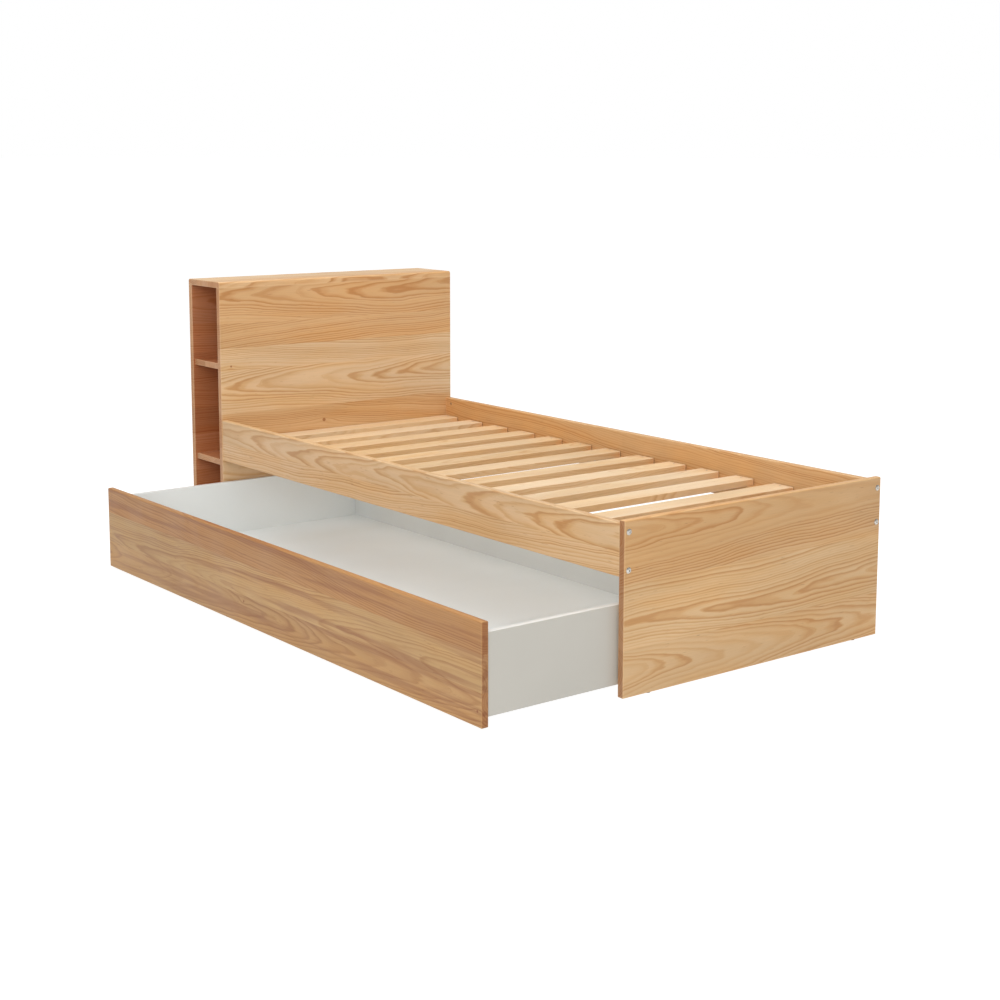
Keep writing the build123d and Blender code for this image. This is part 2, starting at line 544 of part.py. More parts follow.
for side_name, (outer_y, inner_y, inward) in zip(("near", "far"), RAIL_SIDES):
    ledge_inner_y = inner_y + inward * LEDGE_WIDTH
    bolt_y = outer_y + inward * (BOLT_EDGE - RAIL_INSET)
    dowel_y = (outer_y + inner_y) / 2
    ledge_heads = [(x, ledge_inner_y, LEDGE_SCREW_Z) for x in LEDGE_SCREW_XS]

    with BuildPart() as side_rail:
        block((HEAD_FACE_X, FOOT_FACE_X), sorted((outer_y, inner_y)), (RAIL_BOTTOM, RAIL_TOP))
        fillet(side_rail.edges().filter_by(Axis.X).group_by(Axis.Z)[-1], EDGE_ROUND)
        fillet(side_rail.edges().filter_by(Axis.X).group_by(Axis.Z)[0], EDGE_ROUND / 2)
        for end_x, outward_x in ((HEAD_FACE_X, -1), (FOOT_FACE_X, 1)):
            drill(
                [(end_x, bolt_y, z) for z in BOLT_ZS],
                (outward_x, 0, 0),
                BOLT_RADIUS + FIT,
                BOLT_LENGTH - BOARD + DOWEL_HOLE_EXTRA,
            )
            drill(
                [(end_x - outward_x * NUT_DEPTH, inner_y, z) for z in BOLT_ZS],
                (0, inward, 0),
                NUT_RADIUS + FIT,
                abs(inner_y - bolt_y) + NUT_LENGTH / 2 + FIT,
            )
            drill(
                [(end_x, dowel_y, RAIL_DOWEL_Z)],
                (outward_x, 0, 0),
                DOWEL_RADIUS + FIT,
                DOWEL_LENGTH - DOWEL_IN_FACE + DOWEL_HOLE_EXTRA,
            )
        drill(
            [(x, inner_y, LEDGE_SCREW_Z) for x in LEDGE_SCREW_XS],
            (0, inward, 0),
            SCREW_RADIUS + FIT,
            LEDGE_SCREW_LENGTH - LEDGE_WIDTH + DOWEL_HOLE_EXTRA,
        )
    save(side_rail, f"side_rail_{side_name}")

    slat_screw_y = inner_y + inward * LEDGE_WIDTH * LEDGE_SCREW_SHARE
    with BuildPart() as slat_ledge:
        block(
            (HEAD_FACE_X, FOOT_FACE_X),
            sorted((inner_y, ledge_inner_y)),
            (LEDGE_BOTTOM, SLAT_BOTTOM),
        )
        with Locations(*mouths(ledge_heads, (0, inward, 0))):
            CounterSinkHole(SCREW_RADIUS + FIT, SCREW_HEAD_RADIUS + FIT, LEDGE_WIDTH, 90)
        drill(
            [(x, slat_screw_y, SLAT_BOTTOM) for x in SLAT_CENTRES],
            (0, 0, 1),
            SCREW_RADIUS + FIT,
            SLAT_SCREW_LENGTH - SLAT_THICKNESS + DOWEL_HOLE_EXTRA,
        )
    save(slat_ledge, f"slat_ledge_{side_name}")

SLAT_SCREW_YS = [inner + inward * LEDGE_WIDTH * LEDGE_SCREW_SHARE for outer, inner, inward in RAIL_SIDES]
for number, slat_x in enumerate(SLAT_CENTRES, start=1):
    with BuildPart() as slat:
        block(
            (slat_x - SLAT_WIDTH / 2, slat_x + SLAT_WIDTH / 2),
            (NEAR_RAIL_INNER_Y + SLAT_END_GAP, FAR_RAIL_INNER_Y - SLAT_END_GAP),
            (SLAT_BOTTOM, SLAT_TOP),
        )
        fillet(slat.edges().filter_by(Axis.Y), SLAT_ROUND)
        with Locations(*mouths([(slat_x, y, SLAT_TOP) for y in SLAT_SCREW_YS], (0, 0, 1))):
            CounterSinkHole(SCREW_RADIUS + FIT, SCREW_HEAD_RADIUS + FIT, SLAT_THICKNESS, 90)
    save(slat, f"slat_{number:02d}")

with BuildPart() as slat_screws:
    place(SLAT_SCREW, [(x, y, SLAT_TOP) for x in SLAT_CENTRES for y in SLAT_SCREW_YS], (0, 0, 1))
save(slat_screws, "slat_screws")

with BuildPart() as ledge_screws:
    for outer_y, inner_y, inward in RAIL_SIDES:
        heads = [(x, inner_y + inward * LEDGE_WIDTH, LEDGE_SCREW_Z) for x in LEDGE_SCREW_XS]
        place(LEDGE_SCREW, heads, (0, inward, 0))
save(ledge_screws, "ledge_screws")

# ---------------------------------------------------------------- frame fittings
with BuildPart() as foot_bolts:
    place(BOLT, FOOT_BOLT_SEATS, (1, 0, 0))
save(foot_bolts, "foot_bolts")

with BuildPart() as head_bolts:
    place(BOLT, HEAD_BOLT_SEATS, (-1, 0, 0))
save(head_bolts, "head_bolts")

with BuildPart() as barrel_nuts:
    nut_xs = (HEAD_FACE_X + NUT_DEPTH, FOOT_FACE_X - NUT_DEPTH)
    nut_places = [(x, y, z) for x in nut_xs for y in BOLT_YS for z in BOLT_ZS]
    with Locations(*[Plane(origin=p, x_dir=(1, 0, 0), z_dir=(0, 1, 0)) for p in nut_places]):
        add(make_nut())
save(barrel_nuts, "barrel_nuts")

with BuildPart() as rail_dowels:
    place(DOWEL, FOOT_RAIL_DOWELS, (-1, 0, 0))
    place(DOWEL, HEAD_RAIL_DOWELS, (1, 0, 0))
save(rail_dowels, "rail_dowels")

with BuildPart() as glides:
    for glide_point in GLIDE_POINTS:
        with BuildSketch(Plane(origin=(glide_point[0], glide_point[1], 0))) as disc:
            Circle(GLIDE_RADIUS)
        extrude(disc.sketch, amount=GLIDE_HEIGHT)
    fillet(glides.edges().filter_by(GeomType.CIRCLE).group_by(Axis.Z)[0], GLIDE_ROUND)
    for glide_point in GLIDE_POINTS:
        with BuildSketch(Plane(origin=glide_point)) as pin:
            Circle(GLIDE_PIN_RADIUS)
        extrude(pin.sketch, amount=GLIDE_PIN_LENGTH)
save(glides, "glides")

# ---------------------------------------------------------------- drawer body
DRAWER_DOWEL_ZS = [DRAWER_BODY_BOTTOM + DRAWER_BODY_HEIGHT * share for share in (0.25, 0.55, 0.85)]
END_MIDDLE_XS = (BODY_HEAD_X + DRAWER_BOARD / 2, BODY_FOOT_X - DRAWER_BOARD / 2)
BACK_MIDDLE_Y = DRAWER_BACK_Y - DRAWER_BOARD / 2
FRONT_DOWELS = [(x, DRAWER_FRONT_BACK_Y, z) for x in END_MIDDLE_XS for z in DRAWER_DOWEL_ZS]

BRACKET_SHARES = (0.12, 0.31, 0.5, 0.69, 0.88)
FLOOR_LENGTH = BODY_FOOT_INNER_X - BODY_HEAD_INNER_X
FLOOR_DEPTH = DRAWER_BACK_INNER_Y - DRAWER_FRONT_BACK_Y
BRACKET_XS = [BODY_HEAD_INNER_X + FLOOR_LENGTH * share for share in BRACKET_SHARES]
BRACKET_YS = [DRAWER_FRONT_BACK_Y + FLOOR_DEPTH * share for share in (0.25, 0.5, 0.75)]
BRACKETS = (
    # corner of the bracket, and the way in under the floor
    [((x, DRAWER_FRONT_BACK_Y), (0, 1)) for x in BRACKET_XS]
    + [((x, DRAWER_BACK_INNER_Y), (0, -1)) for x in BRACKET_XS]
    + [((BODY_HEAD_INNER_X, y), (1, 0)) for y in BRACKET_YS]
    + [((BODY_FOOT_INNER_X, y), (-1, 0)) for y in BRACKET_YS]
)
BRACKET_SCREW_Z = DRAWER_FLOOR_BOTTOM - BRACKET_DROP * BRACKET_DROP_SHARE
BRACKET_SCREW_REACH = BRACKET_LEG * BRACKET_REACH_SHARE


def upright_bracket_holes(wall):
    """Cut the bracket screw holes of the board whose inner face is reached going away from the way in."""
    points = [
        (corner[0], corner[1], BRACKET_SCREW_Z) for corner, way in BRACKETS if way == wall
    ]
    drill(points, (*wall, 0), SMALL_SCREW_RADIUS + FIT, SMALL_SCREW_LENGTH)


with BuildPart() as drawer_front:
    block(
        (DRAWER_HEAD_X, DRAWER_FOOT_X),
        (DRAWER_FACE_Y, DRAWER_FRONT_BACK_Y),
        (DRAWER_FRONT_BOTTOM, DRAWER_FRONT_BOTTOM + DRAWER_FRONT_HEIGHT),
    )
    fillet(drawer_front.edges().filter_by(Axis.X).group_by(Axis.Z)[-1], EDGE_ROUND)
    fillet(drawer_front.edges().filter_by(Axis.X).group_by(Axis.Z)[0], EDGE_ROUND / 2)
    fillet(drawer_front.edges().filter_by(Axis.Z), EDGE_ROUND / 2)
    drill(FRONT_DOWELS, (0, 1, 0), DOWEL_RADIUS + FIT, DOWEL_IN_FACE + DOWEL_HOLE_EXTRA)
    upright_bracket_holes((0, 1))
save(drawer_front, "drawer_front")

END_SPANS = {
    # x span of the end panel, x of its inner face, way in from that face
    "drawer_end_head": ((BODY_HEAD_X, BODY_HEAD_INNER_X), BODY_HEAD_INNER_X, 1),
    "drawer_end_foot": ((BODY_FOOT_INNER_X, BODY_FOOT_X), BODY_FOOT_INNER_X, -1),
}
for end_name, (x_span, face_x, inward) in END_SPANS.items():
    with BuildPart() as drawer_end:
        block(
            x_span,
            (DRAWER_FRONT_BACK_Y, DRAWER_BACK_Y),
            (DRAWER_BODY_BOTTOM, DRAWER_BODY_TOP),
        )
        fillet(drawer_end.edges().filter_by(Axis.Y), LAMINATE_ROUND)
        drill(
            [(sum(x_span) / 2, DRAWER_FRONT_BACK_Y, z) for z in DRAWER_DOWEL_ZS],
            (0, -1, 0),
            DOWEL_RADIUS + FIT,
            DOWEL_LENGTH - DOWEL_IN_FACE + DOWEL_HOLE_EXTRA,
        )
        drill(
            [(face_x, BACK_MIDDLE_Y, z) for z in DRAWER_DOWEL_ZS],
            (inward, 0, 0),
            DOWEL_RADIUS + FIT,
            DOWEL_IN_FACE + DOWEL_HOLE_EXTRA,
        )
        upright_bracket_holes((inward, 0))
    save(drawer_end, end_name)

with BuildPart() as drawer_back:
    block(
        (BODY_HEAD_INNER_X, BODY_FOOT_INNER_X),
        (DRAWER_BACK_INNER_Y, DRAWER_BACK_Y),
        (DRAWER_BODY_BOTTOM, DRAWER_BODY_TOP),
    )
    fillet(drawer_back.edges().filter_by(Axis.X), LAMINATE_ROUND)
    for face_x, outward_x in ((BODY_HEAD_INNER_X, -1), (BODY_FOOT_INNER_X, 1)):
        drill(
            [(face_x, BACK_MIDDLE_Y, z) for z in DRAWER_DOWEL_ZS],
            (outward_x, 0, 0),
            DOWEL_RADIUS + FIT,
            DOWEL_LENGTH - DOWEL_IN_FACE + DOWEL_HOLE_EXTRA,
        )
    upright_bracket_holes((0, -1))
save(drawer_back, "drawer_back")

PLATE_SCREW_OFFSET = PLATE_SIZE / 2 - PLATE_SCREW_EDGE
PLATE_SCREWS = [
    (x + side_x * PLATE_SCREW_OFFSET, y + side_y * PLATE_SCREW_OFFSET)
    for x, y in CASTOR_PLACES
    for side_x in (-1, 1)
    for side_y in (-1, 1)
]
BRACKET_FLOOR_SCREWS = [
    (corner[0] + way[0] * BRACKET_SCREW_REACH, corner[1] + way[1] * BRACKET_SCREW_REACH)
    for corner, way in BRACKETS
]

with BuildPart() as drawer_bottom:
    block(
        (BODY_HEAD_INNER_X, BODY_FOOT_INNER_X),
        (DRAWER_FRONT_BACK_Y, DRAWER_BACK_INNER_Y),
        (DRAWER_FLOOR_BOTTOM, DRAWER_FLOOR_TOP),
    )
    drill(
        [(x, y, DRAWER_FLOOR_BOTTOM) for x, y in PLATE_SCREWS + BRACKET_FLOOR_SCREWS],
        (0, 0, -1),
        SMALL_SCREW_RADIUS + FIT,
        SMALL_SCREW_LENGTH,
    )
save(drawer_bottom, "drawer_bottom")

with BuildPart() as drawer_dowels:
    place(DOWEL, FRONT_DOWELS, (0, 1, 0))
    place(DOWEL, [(BODY_HEAD_INNER_X, BACK_MIDDLE_Y, z) for z in DRAWER_DOWEL_ZS], (1, 0, 0))
    place(DOWEL, [(BODY_FOOT_INNER_X, BACK_MIDDLE_Y, z) for z in DRAWER_DOWEL_ZS], (-1, 0, 0))
save(drawer_dowels, "drawer_dowels")

# ---------------------------------------------------------------- drawer brackets
with BuildPart() as bracket:
    with BuildSketch(Plane.YZ.offset(-BRACKET_LENGTH / 2)):
        with BuildLine():
            Polyline(
                (0, 0),
                (BRACKET_LEG, 0),
                (BRACKET_LEG, -BRACKET_SHEET),
                (BRACKET_SHEET, -BRACKET_SHEET),
                (BRACKET_SHEET, -BRACKET_DROP),
                (0, -BRACKET_DROP),
                close=True,
            )
        make_face()
    extrude(amount=BRACKET_LENGTH)
    drill([(0, BRACKET_SCREW_REACH, 0)], (0, 0, 1), SMALL_SCREW_RADIUS + FIT, BRACKET_SHEET)
    drill(
        [(0, BRACKET_SHEET, BRACKET_SCREW_Z - DRAWER_FLOOR_BOTTOM)],
        (0, 1, 0),
        SMALL_SCREW_RADIUS + FIT,
        BRACKET_SHEET,
    )

with BuildPart() as drawer_brackets:
    bracket_places = [
        Plane(
            origin=(*corner, DRAWER_FLOOR_BOTTOM),
            x_dir=(way[1], -way[0], 0),
            z_dir=(0, 0, 1),
        )
        for corner, way in BRACKETS
    ]
    with Locations(*bracket_places):
        add(bracket.part)
save(drawer_brackets, "drawer_brackets")

with BuildPart() as bracket_screws:
    floor_seat = DRAWER_FLOOR_BOTTOM - BRACKET_SHEET
    place(SMALL_SCREW, [(x, y, floor_seat) for x, y in BRACKET_FLOOR_SCREWS], (0, 0, -1))
    for corner, way in BRACKETS:
        wall_seat = (
            corner[0] + way[0] * BRACKET_SHEET,
            corner[1] + way[1] * BRACKET_SHEET,
            BRACKET_SCREW_Z,
        )
        place(SMALL_SCREW, [wall_seat], (*way, 0))
save(bracket_screws, "bracket_screws")

# ---------------------------------------------------------------- castors
with BuildPart() as housing:
    with BuildSketch(Plane.XY.offset(DRAWER_FLOOR_BOTTOM - PLATE)):
        RectangleRounded(PLATE_SIZE, PLATE_SIZE, PLATE_CORNER)
    extrude(amount=PLATE)
    for cheek_side in (-1, 1):
        cheek_x = cheek_side * (FORK_INNER + PLATE / 2)
        with BuildSketch(Plane.YZ.offset(cheek_x - PLATE / 2)):
            with Locations((0, WHEEL_RADIUS)):
                Circle(FORK_CHEEK / 2 - FORK_CHEEK_TAPER)
            with BuildLine():
                Polyline(
                    (-FORK_CHEEK / 2, DRAWER_FLOOR_BOTTOM - PLATE),
                    (-FORK_CHEEK / 2 + FORK_CHEEK_TAPER, WHEEL_RADIUS),
                    (FORK_CHEEK / 2 - FORK_CHEEK_TAPER, WHEEL_RADIUS),
                    (FORK_CHEEK / 2, DRAWER_FLOOR_BOTTOM - PLATE),
                    close=True,
                )
            make_face()
        extrude(amount=PLATE)
    axle_mouth = Plane(origin=(FORK_INNER + PLATE, 0, WHEEL_RADIUS), z_dir=(1, 0, 0))
    with Locations(axle_mouth):
        Hole(AXLE_RADIUS + FIT / 2, 2 * (FORK_INNER + PLATE))
    with Locations((0, 0, DRAWER_FLOOR_BOTTOM)):
        with GridLocations(2 * PLATE_SCREW_OFFSET, 2 * PLATE_SCREW_OFFSET, 2, 2):
            Hole(SMALL_SCREW_RADIUS + FIT, PLATE)

with BuildPart() as wheel:
    with BuildSketch(Plane.XZ) as wheel_section:
        with BuildLine():
            half = WHEEL_WIDTH / 2
            bore = AXLE_RADIUS + AXLE_RUNNING_GAP
            hub = bore + WHEEL_HUB_WALL
            web = half - WHEEL_WEB_RECESS
            rim = WHEEL_RADIUS - WHEEL_RIM_WALL
            side = half - WHEEL_HUB_PROUD
            tread = half - WHEEL_TREAD_SHOULDER
            Polyline(
                (half, bore),
                (half, hub),
                (web, hub + WHEEL_HUB_SLOPE),
                (web, rim - WHEEL_HUB_PROUD),
                (side, rim),
            )
            RadiusArc((side, rim), (tread, WHEEL_RADIUS), -WHEEL_RIM_WALL)
            Line((tread, WHEEL_RADIUS), (0, WHEEL_RADIUS))
            Line((0, WHEEL_RADIUS), (0, bore))
            Line((0, bore), (half, bore))
        make_face()
        mirror(about=Plane.YZ)
    revolve(axis=Axis.X)

with BuildPart() as axle:
    with BuildSketch(Plane.XZ):
        with BuildLine():
            Polyline(
                (-AXLE_LENGTH / 2, 0),
                (-AXLE_LENGTH / 2, AXLE_RADIUS + AXLE_HEAD_PROUD),
                (-AXLE_LENGTH / 2 + AXLE_HEAD, AXLE_RADIUS + AXLE_HEAD_PROUD),
                (-AXLE_LENGTH / 2 + AXLE_HEAD, AXLE_RADIUS),
                (AXLE_LENGTH / 2 - AXLE_HEAD, AXLE_RADIUS),
                (AXLE_LENGTH / 2 - AXLE_HEAD, AXLE_RADIUS + AXLE_HEAD_PROUD),
                (AXLE_LENGTH / 2, AXLE_RADIUS + AXLE_HEAD_PROUD),
                (AXLE_LENGTH / 2, 0),
                close=True,
            )
        make_face()
    revolve(axis=Axis.X)

for number, (castor_x, castor_y) in enumerate(CASTOR_PLACES, start=1):
    with BuildPart() as castor_housing:
        with Locations((castor_x, castor_y, 0)):
            add(housing.part)
    save(castor_housing, f"castor_housing_{number}")

    with BuildPart() as castor_wheel:
        with Locations((castor_x, castor_y, WHEEL_RADIUS)):
            add(wheel.part)
    save(castor_wheel, f"castor_wheel_{number}")

with BuildPart() as castor_axles:
    with Locations(*[(x, y, WHEEL_RADIUS) for x, y in CASTOR_PLACES]):
        add(axle.part)
save(castor_axles, "castor_axles")

with BuildPart() as castor_screws:
    plate_seat = DRAWER_FLOOR_BOTTOM - PLATE
    place(SMALL_SCREW, [(x, y, plate_seat) for x, y in PLATE_SCREWS], (0, 0, -1))
save(castor_screws, "castor_screws")
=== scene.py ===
import logging
import math
import random
from dataclasses import dataclass, field, replace
from enum import Enum
from typing import Any, NamedTuple, Union

import bpy
from mathutils import Matrix, Vector

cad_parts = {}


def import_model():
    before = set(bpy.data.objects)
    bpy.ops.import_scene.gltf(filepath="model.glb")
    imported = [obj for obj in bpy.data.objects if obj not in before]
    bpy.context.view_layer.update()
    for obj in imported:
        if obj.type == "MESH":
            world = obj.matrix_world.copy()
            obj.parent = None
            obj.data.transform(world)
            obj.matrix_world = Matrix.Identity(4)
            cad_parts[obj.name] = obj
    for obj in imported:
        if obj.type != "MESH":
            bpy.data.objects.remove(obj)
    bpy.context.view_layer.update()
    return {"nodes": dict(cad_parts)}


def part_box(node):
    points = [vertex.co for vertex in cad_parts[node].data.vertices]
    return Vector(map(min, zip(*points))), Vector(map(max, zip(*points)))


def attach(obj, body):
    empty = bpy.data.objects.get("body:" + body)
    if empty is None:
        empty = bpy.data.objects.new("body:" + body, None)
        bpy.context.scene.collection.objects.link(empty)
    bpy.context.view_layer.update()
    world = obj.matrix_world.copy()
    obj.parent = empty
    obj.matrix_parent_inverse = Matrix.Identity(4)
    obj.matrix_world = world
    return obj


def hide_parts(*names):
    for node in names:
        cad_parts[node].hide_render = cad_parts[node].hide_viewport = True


log = logging.getLogger("pine_bed")

Socket = bpy.types.NodeSocket
Feed = Union[Socket, float]
Colour = tuple[float, float, float, float]


def srgb(red: int, green: int, blue: int) -> Colour:
    """A display colour, as a decorator names it, in the linear light that shaders use.

    Args:
        red: Red, 0 to 255.
        green: Green, 0 to 255.
        blue: Blue, 0 to 255.

    Returns:
        The linear colour, opaque.
    """
    parts = [value / 255 for value in (red, green, blue)]
    linear = [p / 12.92 if p <= 0.04045 else ((p + 0.055) / 1.055) ** 2.4 for p in parts]
    return (linear[0], linear[1], linear[2], 1.0)


def scaled(colour: Colour, amount: float) -> Colour:
    """The same colour, lighter or darker by a factor."""
    return (colour[0] * amount, colour[1] * amount, colour[2] * amount, 1.0)


def grey(level: float) -> Colour:
    """A neutral colour of the given linear brightness."""
    return (level, level, level, 1.0)


class Step(NamedTuple):
    """A smooth step: where it begins and ends, and the answers before and after it."""

    low: float
    high: float
    start: float = 0.0
    end: float = 1.0


class Speckle(NamedTuple):
    """Noise that is alike in every direction: features per metre, and its finer octaves."""

    scale: float
    detail: float = 2.0
    rough: float = 0.5


class Layer(NamedTuple):
    """Stretched noise: features per metre along each direction, and its finer octaves."""

    stretch: tuple[float, float, float]
    detail: float = 2.0
    rough: float = 0.5


class Swing(NamedTuple):
    """Noise about zero: features per metre, how far it swings each way, and its finer octaves."""

    scale: float
    reach: float
    detail: float = 2.0


class Relief(NamedTuple):
    """A bump: what a height of 1 stands for, in metres, and how much of it shows."""

    depth: float
    strength: float


class Axis(Enum):
    """A direction of the bed's frame, by its place in a point."""

    LENGTH = 0
    WIDTH = 1
    HEIGHT = 2


class Figure(Enum):
    """How a stave was sawn, which decides the grain that its face shows."""

    CATHEDRAL = "flat sawn: arches and loops"
    STRAIGHT = "quarter sawn: fine parallel lines"
    MIXED = "glued from staves of both kinds"


# ---------------------------------------------------------------- node trees
class Graph:
    """The node tree of one material, with a short call for each kind of node."""

    def __init__(self, name: str) -> None:
        """Start an empty material.

        Args:
            name: The material's name.
        """
        self.material = bpy.data.materials.new(name)
        self.material.use_nodes = True
        self.tree = self.material.node_tree
        self.tree.nodes.clear()
        self.place = self.node("ShaderNodeTexCoord")

    def node(self, kind: str, **settings: Any) -> bpy.types.Node:
        """Add a node.

        Args:
            kind: Blender's name for the kind of node.
            **settings: The node's own settings.

        Returns:
            The new node.
        """
        made = self.tree.nodes.new(kind)
        for key, value in settings.items():
            setattr(made, key, value)
        return made

    def feed(self, socket: Socket, value: Any) -> None:
        """Link a socket to another, or set its value.

        Args:
            socket: The input.
            value: A socket to link, or a plain value.
        """
        if isinstance(value, bpy.types.NodeSocket):
            self.tree.links.new(value, socket)
        else:
            socket.default_value = value

    def math(self, operation: str, a: Feed, b: Feed = 0.0, clamp: bool = False) -> Socket:
        """One step of arithmetic.

        Args:
            operation: Blender's name for the operation.
            a: First number.
            b: Second number.
            clamp: Whether the answer is held between 0 and 1.

        Returns:
            The answer.
        """
        made = self.node("ShaderNodeMath", operation=operation, use_clamp=clamp)
        self.feed(made.inputs[0], a)
        self.feed(made.inputs[1], b)
        return made.outputs[0]

    def add(self, a: Feed, b: Feed) -> Socket:
        """a + b."""
        return self.math("ADD", a, b)

    def less(self, a: Feed, b: Feed) -> Socket:
        """a - b."""
        return self.math("SUBTRACT", a, b)

    def times(self, a: Feed, b: Feed) -> Socket:
        """a * b."""
        return self.math("MULTIPLY", a, b)

    def split(self, vector: Socket) -> tuple[Socket, Socket, Socket]:
        """The three parts of a vector."""
        made = self.node("ShaderNodeSeparateXYZ")
        self.feed(made.inputs[0], vector)
        return made.outputs[0], made.outputs[1], made.outputs[2]

    def join(self, x: Feed, y: Feed, z: Feed = 0.0) -> Socket:
        """A vector from three numbers."""
        made = self.node("ShaderNodeCombineXYZ")
        for socket, value in zip(made.inputs, (x, y, z)):
            self.feed(socket, value)
        return made.outputs[0]

    def stretch(self, vector: Socket, scales: tuple[float, float, float]) -> Socket:
        """A vector with each part multiplied by its own scale."""
        made = self.node("ShaderNodeVectorMath", operation="MULTIPLY")
        self.feed(made.inputs[0], vector)
        made.inputs[1].default_value = scales
        return made.outputs[0]

    def noise(self, vector: Socket, scale: float, detail: float = 2.0, rough: float = 0.5) -> Socket:
        """Smooth noise.

        Args:
            vector: Where it is read.
            scale: Features per metre.
            detail: Octaves of finer noise.
            rough: Strength of each finer octave.

        Returns:
            The noise, mostly between 0.25 and 0.75.
        """
        made = self.node("ShaderNodeTexNoise")
        self.feed(made.inputs["Vector"], vector)
        made.inputs["Scale"].default_value = scale
        made.inputs["Detail"].default_value = detail
        made.inputs["Roughness"].default_value = rough
        return made.outputs[0]

    def layer(self, vector: Socket, layer: Layer) -> Socket:
        """Stretched noise."""
        return self.noise(self.stretch(vector, layer.stretch), 1.0, layer.detail, layer.rough)

    def swing(self, vector: Socket, scale: float, reach: float, detail: float = 2.0) -> Socket:
        """Smooth noise about zero.

        Args:
            vector: Where it is read.
            scale: Features per metre.
            reach: How far it swings each way, about.
            detail: Octaves of finer noise.

        Returns:
            The noise.
        """
        return self.times(self.less(self.noise(vector, scale, detail), 0.5), 4 * reach)

    def chance(self, value: Feed) -> Socket:
        """An even random number for each different value."""
        made = self.node("ShaderNodeTexWhiteNoise", noise_dimensions="1D")
        self.feed(made.inputs["W"], value)
        return made.outputs["Value"]

    def rise(self, value: Feed, low: float, high: float, start: float = 0.0, end: float = 1.0) -> Socket:
        """A smooth step.

        Args:
            value: What is read.
            low: Where the step begins.
            high: Where it ends.
            start: The answer up to low.
            end: The answer past high.

        Returns:
            The stepped number.
        """
        made = self.node("ShaderNodeMapRange", interpolation_type="SMOOTHSTEP", clamp=True)
        self.feed(made.inputs["Value"], value)
        for key, number in (("From Min", low), ("From Max", high), ("To Min", start), ("To Max", end)):
            made.inputs[key].default_value = number
        return made.outputs[0]

    def ramp(self, value: Socket, stops: list[tuple[float, Colour]], mode: str = "LINEAR") -> bpy.types.Node:
        """A colour ramp.

        Args:
            value: What is read, 0 to 1.
            stops: Place and colour of each stop, in order.
            mode: Blender's name for how it blends.

        Returns:
            The node, whose outputs are colour and alpha.
        """
        made = self.node("ShaderNodeValToRGB")
        made.color_ramp.interpolation = mode
        marks = made.color_ramp.elements
        marks[0].position, marks[0].color = stops[0]
        marks[1].position, marks[1].color = stops[-1]
        for place, colour in stops[1:-1]:
            marks.new(place).color = colour
        self.feed(made.inputs[0], value)
        return made

    def blend(self, share: Feed, a: Any, b: Any, mode: str = "MIX") -> Socket:
        """Mix two colours.

        Args:
            share: How much of b.
            a: First colour.
            b: Second colour.
            mode: Blender's name for how they mix.

        Returns:
            The mixed colour.
        """
        made = self.node("ShaderNodeMix", data_type="RGBA", blend_type=mode)
        self.feed(made.inputs[0], share)
        self.feed(made.inputs[6], a)
        self.feed(made.inputs[7], b)
        return made.outputs[2]

    def tint(self, share: Feed, colour: Any, by: Any) -> Socket:
        """A colour multiplied by another, as far as the share says."""
        return self.blend(share, colour, self.blend(1.0, colour, by, "MULTIPLY"))

    def shade(self, colour: Any, level: Socket) -> Socket:
        """A colour made lighter or darker by a factor."""
        return self.blend(1.0, colour, self.join(level, level, level), "MULTIPLY")

    def bump(self, height: Socket, depth: float, strength: float = 1.0) -> Socket:
        """A bump.

        Args:
            height: Height, 0 to 1.
            depth: What a height of 1 stands for, in metres.
            strength: How much of it shows.

        Returns:
            The bumped normal.
        """
        made = self.node("ShaderNodeBump")
        made.inputs["Strength"].default_value = strength
        made.inputs["Distance"].default_value = depth
        self.feed(made.inputs["Height"], height)
        return made.outputs[0]

    def surface(self, **sockets: Any) -> bpy.types.Material:
        """Close the tree with one surface shader.

        Args:
            **sockets: Its inputs by name, spaces written as underscores.

        Returns:
            The finished material.
        """
        shader = self.node("ShaderNodeBsdfPrincipled")
        for key, value in sockets.items():
            self.feed(shader.inputs[key.replace("_", " ")], value)
        output = self.node("ShaderNodeOutputMaterial")
        self.tree.links.new(shader.outputs[0], output.inputs[0])
        return self.material


# ---------------------------------------------------------------- wood
@dataclass(frozen=True)
class Stave:
    """One stave of a glued board: where it starts, how warm it is, and how it was sawn."""

    start: float
    warmth: float
    figure: Figure


@dataclass(frozen=True)
class Board:
    """A glued board or solid stick: where it lies and how its grain runs.

    Inside lists the ways, -1 or 1, that its thickness points into the headboard's box; faces that point that
    way get painted shade.
    """

    low: Vector
    high: Vector
    grain: Axis
    staves: Axis
    seed: int
    stave_width: float = 0.110
    figure: Figure = Figure.MIXED
    chosen: tuple[Stave, ...] = ()
    inside: tuple[int, ...] = ()

    WIDTH_SPREAD = (0.7, 1.3)
    STRAIGHT_SHARE = 0.35

    @property
    def through(self) -> Axis:
        """The direction of the board's thickness."""
        return next(axis for axis in Axis if axis not in (self.grain, self.staves))

    def all_staves(self) -> list[Stave]:
        """The board's staves, as chosen or else drawn at random.

        Returns:
            The staves, in order across the board.
        """
        if self.chosen:
            return list(self.chosen)
        dice = random.Random(self.seed)
        low, high = self.low[self.staves.value], self.high[self.staves.value]
        count = max(1, round((high - low) / self.stave_width))
        widths = [dice.uniform(*self.WIDTH_SPREAD) for _ in range(count)]
        made = []
        place = low
        for width in widths:
            figure = self.figure
            if figure is Figure.MIXED:
                figure = Figure.STRAIGHT if dice.random() < self.STRAIGHT_SHARE else Figure.CATHEDRAL
            made.append(Stave(place, dice.random(), figure))
            place += width * (high - low) / sum(widths)
        return made


